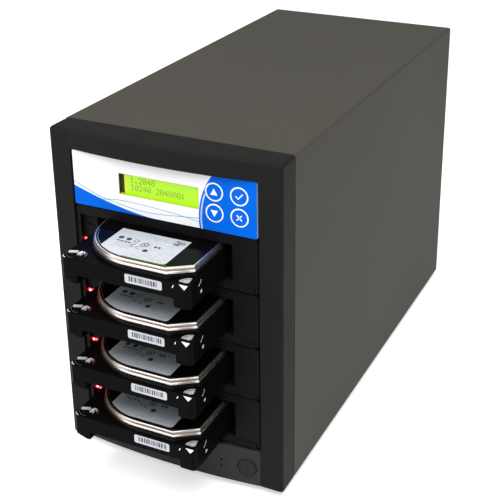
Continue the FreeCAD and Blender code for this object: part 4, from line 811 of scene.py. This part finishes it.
# %% Strips and lining of the window
STRIP_PAST = 0.4
SHADOW_END, SEAM_END, GLOW_END = 2.2, 3.1, 5.0
STRIP, GLOW_STRIP = 0.05, 0.03
LINING = 0.3
LINING_DEEP = 2.3
BORDER = 0.1
x0, x1, z0, z1 = window
glass_at = Vector((PLATE_AT.x, glass_low.y, PLATE_AT.z))
STRIPS = (
    # name, start and end from the window's left edge, thickness, finish
    # Painted shadow: a dark olive strip where the window's left wall shades the glass.
    ("display_left_shadow", -STRIP_PAST, SHADOW_END, STRIP, display_dark),
    ("display_seam", SHADOW_END, SEAM_END, STRIP, display_black),
    ("display_glow_edge", SEAM_END, GLOW_END, GLOW_STRIP, display_yellow),
)
for name, start, end, thickness, material in STRIPS:
    shape = box_outline(x0 + start, x0 + end, z0 - STRIP_PAST, z1 + STRIP_PAST)
    printed(name, [shape], glass_at, FRONT, thickness, material, "chassis")
lining_at = Vector((PLATE_AT.x, glass_low.y - GLASS_LIFT * MM, PLATE_AT.z))
walls = [(x0, z0), (x1, z0), (x1, z1), (x0, z1), (x0, z1 - LINING), (x1 - LINING, z1 - LINING),
         (x1 - LINING, z0 + LINING), (x0, z0 + LINING)]
# Painted light: the window's bottom, right and top walls glow with the display's lime.
printed("display_walls_glow", [walls], lining_at, FRONT, LINING_DEEP, display_lime, "chassis")
# Painted shade: the window's left wall is dark olive.
printed("display_left_wall_shade", [box_outline(x0, x0 + LINING, z0 + LINING, z1 - LINING)],
        lining_at, FRONT, LINING_DEEP, display_dark, "chassis")
border_at = lining_at + Vector((0, -LINING_DEEP * MM, 0))
printed("display_border", [box_outline(*window),
                           box_outline(x0 + LINING, x1 - LINING, z0 + LINING, z1 - LINING)],
        border_at, FRONT, BORDER, film_orange, "chassis")
print("display", round(x1 - x0, 1), "by", round(z1 - z0, 1), "mm")

# %% [markdown]
# ## Films, labels and marks of the drives
#
# Each bare drive has a black mirror film inside the bright rim of its lid, a paper label
# with print on it, and a small bar label on its nose. The real print is text, so here it is
# only bars and rings in its place and of its density, laid out by a seeded random number.

# %% Places on a drive
LID_TOP_STEPS = 2
LID_STEP = 1.1
PLATTER = (52.0, 50.5, 49.5)
LID_RIGHT = 100.6
LID_FRONT = 1.0
LID_REAR = 137.0
LID_CUT = (16.0, 11.0)
LID_LINE = 4.4
LABEL = (24.0, 80.0, 6.4, 43.5)
LABEL_BEND = (45.0, -109.0)


def lid_outline(inset, count=28):
    """The lid's outline from above, drawn in by an inset, in mm from the drive's corner."""
    x, y, radius = PLATTER
    left_front = arc(x, y, radius - inset, 180, 270, count)
    right, front, rear = LID_RIGHT - inset, LID_FRONT + inset, LID_REAR - inset
    corner = 4.0
    back = arc(right - corner, rear - corner, corner, 0, 90, 5)
    back += arc(x - radius + inset + corner, rear - corner, corner, 90, 180, 5)
    return left_front + [(right - LID_CUT[0], front), (right, front + LID_CUT[1])] + back


def label_outline():
    """The paper label: its near left corner follows the disks."""
    left, right, front, rear = LABEL
    x, y = PLATTER[:2]
    radius, stop = LABEL_BEND
    bend = y - math.sqrt(radius ** 2 - (x - left) ** 2)
    start = math.degrees(math.atan2(bend - y, left - x))
    points = [(left, rear), (left, bend)]
    points += arc(x, y, radius, start, stop, 12)
    points += [(44.0, front)]
    points += arc(right - 2.5, front + 2.5, 2.5, -90, 0, 5)
    return points + [(right, rear)]


# %% Print of the label
RIGHT_ROWS, LEFT_ROWS = 13, 5
DOTS = ((31.0, 30.5, 2.1), (37.5, 30.0, 2.1), (44.0, 29.5, 2.1), (44.0, 29.5, 1.5))
SQUARE = 0.92
SQUARE_ROWS, SQUARE_COLUMNS = 7, 8
SQUARE_SHARE = 0.55


def dash(x, y, length, height):
    """One short stroke."""
    return box_outline(x, x + length, y, y + height)


def fine_rows(pick):
    """Rows of small dashes: a wide block on the right and a narrow one on the left."""
    fine = []
    for row in range(RIGHT_ROWS):
        y = 9.5 + row * 2.4
        x = 50.0 + (row % 4) * 1.5
        while x < 76.0:
            length = pick.uniform(1.0, 4.5)
            if pick.random() < 0.6 and not (y > 33 and x > 68):
                fine.append(dash(x, y, min(length, 78.0 - x), 0.5))
            x += length + 0.9
    for row in range(LEFT_ROWS):
        y = 17.0 + row * 2.2
        x = 29.0 + row
        while x < 44.0:
            length = pick.uniform(0.8, 2.6)
            fine.append(dash(x, y, length, 0.7))
            x += length + 0.7
    return fine


def bold_marks():
    """Dots, rings, blocks and dashes that stand where the label's signs are."""
    bold = [circle(x, y, radius, 20) for x, y, radius in DOTS]
    bold += [circle(52.5, 26.5, 3.0, 24), circle(52.5, 26.5, 2.2, 24), circle(52.5, 26.5, 1.0, 16)]
    bold += [circle(57.0, 19.0, 2.0, 20), dash(60.0, 25.4, 2.0, 2.4), dash(62.8, 25.4, 2.0, 2.4)]
    bold += [dash(30.0 + 3.1 * i, 25.2 - 0.1 * i, 2.3, 1.3) for i in range(4)]
    return bold + [stripe(arc(45.5, 22.6, 1.6, 60, 300, 10), 0.6),
                   stripe(arc(50.0, 21.4, 1.6, 60, 300, 10), 0.6)]


def squares(pick):
    """A block of small squares, a little over half of them filled."""
    return [dash(69.5 + column, 34.0 + row, SQUARE, SQUARE)
            for row in range(SQUARE_ROWS) for column in range(SQUARE_COLUMNS)
            if pick.random() < SQUARE_SHARE]


def label_print(seed):
    """Generic print in its two tones."""
    pick = random.Random(seed)
    fine = fine_rows(pick)
    return fine, bold_marks() + squares(pick)


# %% Dress each drive
FILM = 0.1
FILM_EDGE = 0.9
PAPER = 0.06
PRINT = 0.02
STICKER = (52.0, 81.0, 10.2, 16.9)
STICKER_CORNER = 1.3
STICKER_THICK = 0.08
STICKER_PROUD = 0.01
BAR_MARGIN = 3.2
LAMP_HALF = 1.1
LAMP_CORE = (0.35, 0, 0.7)


def bar_code(seed):
    """Upright bars of several widths, laid out by a seeded random number."""
    pick = random.Random(seed)
    bars = []
    x = STICKER[0] + BAR_MARGIN
    while x < STICKER[1] - BAR_MARGIN:
        width = pick.choice((0.35, 0.35, 0.7, 1.05))
        bars.append(box_outline(x, x + width, STICKER[2] + 1.6, STICKER[3] - 1.2))
        x += width + pick.choice((0.35, 0.7))
    return bars


def lamp_spot(number):
    """The bright middle of the outer lamp of one rack."""
    low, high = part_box("rack_lamps_%d" % number)
    at = Vector((low.x + LAMP_HALF * MM, low.y, (low.z + high.z) / 2))
    printed("lamp_spot_%d" % number, [circle(*LAMP_CORE, 16)], at, FRONT, FILM, lamp_core,
            "chassis")


def dress_drive(number):
    """The film, the fine line and the paper on one lid, and the bar label on its nose."""
    body = "drive_%d" % number
    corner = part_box("drive_body_%d" % number)[0]
    lid_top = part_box("drive_lid_%d" % number)[1].z
    top = Vector((corner.x, corner.y, lid_top))
    inset = LID_TOP_STEPS * LID_STEP + FILM_EDGE
    printed("lid_film_%d" % number, [lid_outline(inset)], top, TOP, FILM, lid_black, body)
    paper_at = top + Vector((0, 0, FILM * MM))
    x, y, radius = PLATTER
    line = arc(x, y, radius - LID_LINE, 200, 270, 24)
    line += [(LID_RIGHT - LID_CUT[0] - 1.0, LID_FRONT + LID_LINE)]
    printed("lid_line_%d" % number, [stripe(line, 0.3)], paper_at, TOP, 0.04, rim_metal, body)
    printed("label_%d" % number, [label_outline()], paper_at, TOP, PAPER, label_paper, body)
    fine, bold = label_print(number)
    ink_at = paper_at + Vector((0, 0, PAPER * MM))
    printed("label_fine_%d" % number, fine, ink_at, TOP, PRINT, label_grey, body)
    printed("label_bold_%d" % number, bold, ink_at, TOP, PRINT, label_ink, body)
    sticker = box_outline(*STICKER, STICKER_CORNER)
    seat = corner + Vector((0, (STICKER_THICK - STICKER_PROUD) * MM, 0))
    printed("bar_label_%d" % number, [sticker], seat, FRONT, STICKER_THICK, label_paper, body)
    bars_at = corner + Vector((0, -STICKER_PROUD * MM, 0))
    printed("bar_print_%d" % number, bar_code(10 + number), bars_at, FRONT, STICKER_PROUD,
            label_ink, body)


for number in DRIVES:
    lamp_spot(number)
    dress_drive(number)
print("drives labelled")

# %% [markdown]
# ## Bright spots of the casting
#
# The casting is painted, but its corners are milled or carry screws: a clamp bar, its claw
# and a screw at the left, and a black pad with curved tool marks at the right. A disc in each
# side hole stands for its bare threads, painted bright as a glint. A stripe on the left
# corner's edge and a dash at a notch on the nose are painted highlights. Each is a small flat
# shape with a thickness, so the outline helpers make them all. Those on the nose are set into
# it, so they hardly stand proud.

# %% Milled corners and painted highlights
SCREW_HOLES = ((16.9, 6.35), (118.5, 6.35))
# The discs in the side holes are bare thread metal, painted bright as a glint.
THREAD_GLINT_RADIUS = 1.5
THREAD_GLINT_THICK = 0.4
THREAD_GLINT_RIGHT, THREAD_GLINT_LEFT = 0.7, 0.3
SPOT = 0.12
SPOT_SEAT = 0.11
PAD_DEPTH = 0.8
RIB_RADII = (2.6, 4.2, 5.8, 7.4)
ON_DECK = (
    # name, outline, thickness, finish
    ("clamp_bar", stripe([(1.6, 8.2), (8.0, 10.4)], 2.1), 1.0, milled_metal),
    ("clamp_claw", stripe([(9.6, 10.4), (10.0, 7.6), (9.6, 6.6)], 0.8), 1.0, milled_metal),
    ("clamp_screw", stripe([(11.4, 10.6), (11.9, 7.0)], 1.7), 1.6, milled_metal),
    ("clamp_hook", stripe([(10.2, 11.4), (12.6, 11.2), (13.9, 9.4)], 0.8), 1.0, milled_metal),
    ("clamp_ring", stripe(arc(7.6, 8.8, 7.0, 175, 285, 16), 0.3), SPOT, rim_metal),
    ("clamp_arc", stripe(arc(11.4, 8.4, 4.2, -20, 100, 12), 0.35), SPOT, rim_metal),
    # Painted highlight: a bright stripe along the casting's left front corner edge.
    ("corner_edge_highlight", stripe([(0.5, 3.4), (1.2, 1.6), (3.6, 0.6)], 0.7), 0.15, milled_metal),
)
ON_PAD = (("corner_pad", [(91.0, 3.0), (100.0, 3.0), (100.0, 8.6)], 0.3, casting_black),)
ON_PAD += tuple(
    ("corner_rib_%d" % place, stripe(arc(100.2, 2.0, radius, 100, 172, 12), 0.55), 1.0,
     milled_metal)
    for place, radius in enumerate(RIB_RADII))
ON_NOSE = (
    ("corner_drop", [(94.2, 18.0), (98.0, 14.4), (100.9, 18.0)], SPOT, milled_metal),
    # Painted glint: a bright dash on the edge of a notch in the nose.
    ("front_nick_glint", stripe([(89.0, 14.4), (89.9, 16.4)], 0.6), SPOT, milled_metal),
)
SIDE_CURVE = stripe(flow([(16.6, 15.6), (15.6, 13.4), (13.0, 11.6)]), 0.45)
ON_WALL = (("side_curve", SIDE_CURVE, 0.1, milled_metal),)


def put_spots(spots, at, face, number):
    """Lay a table of flat spots on one face of one drive."""
    for name, outline, thickness, material in spots:
        printed("%s_%d" % (name, number), [outline], at, face, thickness, material,
                "drive_%d" % number)


def casting_corners(number):
    """The clamp, the screw, the tool marks, the painted highlights and the painted thread glints
    of one drive.
    """
    low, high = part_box("drive_body_%d" % number)
    deck = Vector((low.x, low.y, high.z))
    wall = Vector((high.x, low.y, low.z))
    put_spots(ON_DECK, deck, TOP, number)
    put_spots(ON_PAD, deck + Vector((0, 0, -PAD_DEPTH * MM)), TOP, number)
    put_spots(ON_WALL, wall, SIDE, number)
    # Painted glint: a bright disc on the threads of each side hole, on both sides.
    thread_glints = [circle(y, z, THREAD_GLINT_RADIUS, 16) for y, z in SCREW_HOLES]
    for side, at in (("right", wall - Vector((THREAD_GLINT_RIGHT * MM, 0, 0))),
                     ("left", low + Vector((THREAD_GLINT_LEFT * MM, 0, 0)))):
        printed("threads_%s_%d" % (side, number), thread_glints, at, SIDE, THREAD_GLINT_THICK, milled_metal,
                "drive_%d" % number)
    put_spots(ON_NOSE, low + Vector((0, SPOT_SEAT * MM, 0)), FRONT, number)


for number in DRIVES:
    casting_corners(number)
print("corners milled")
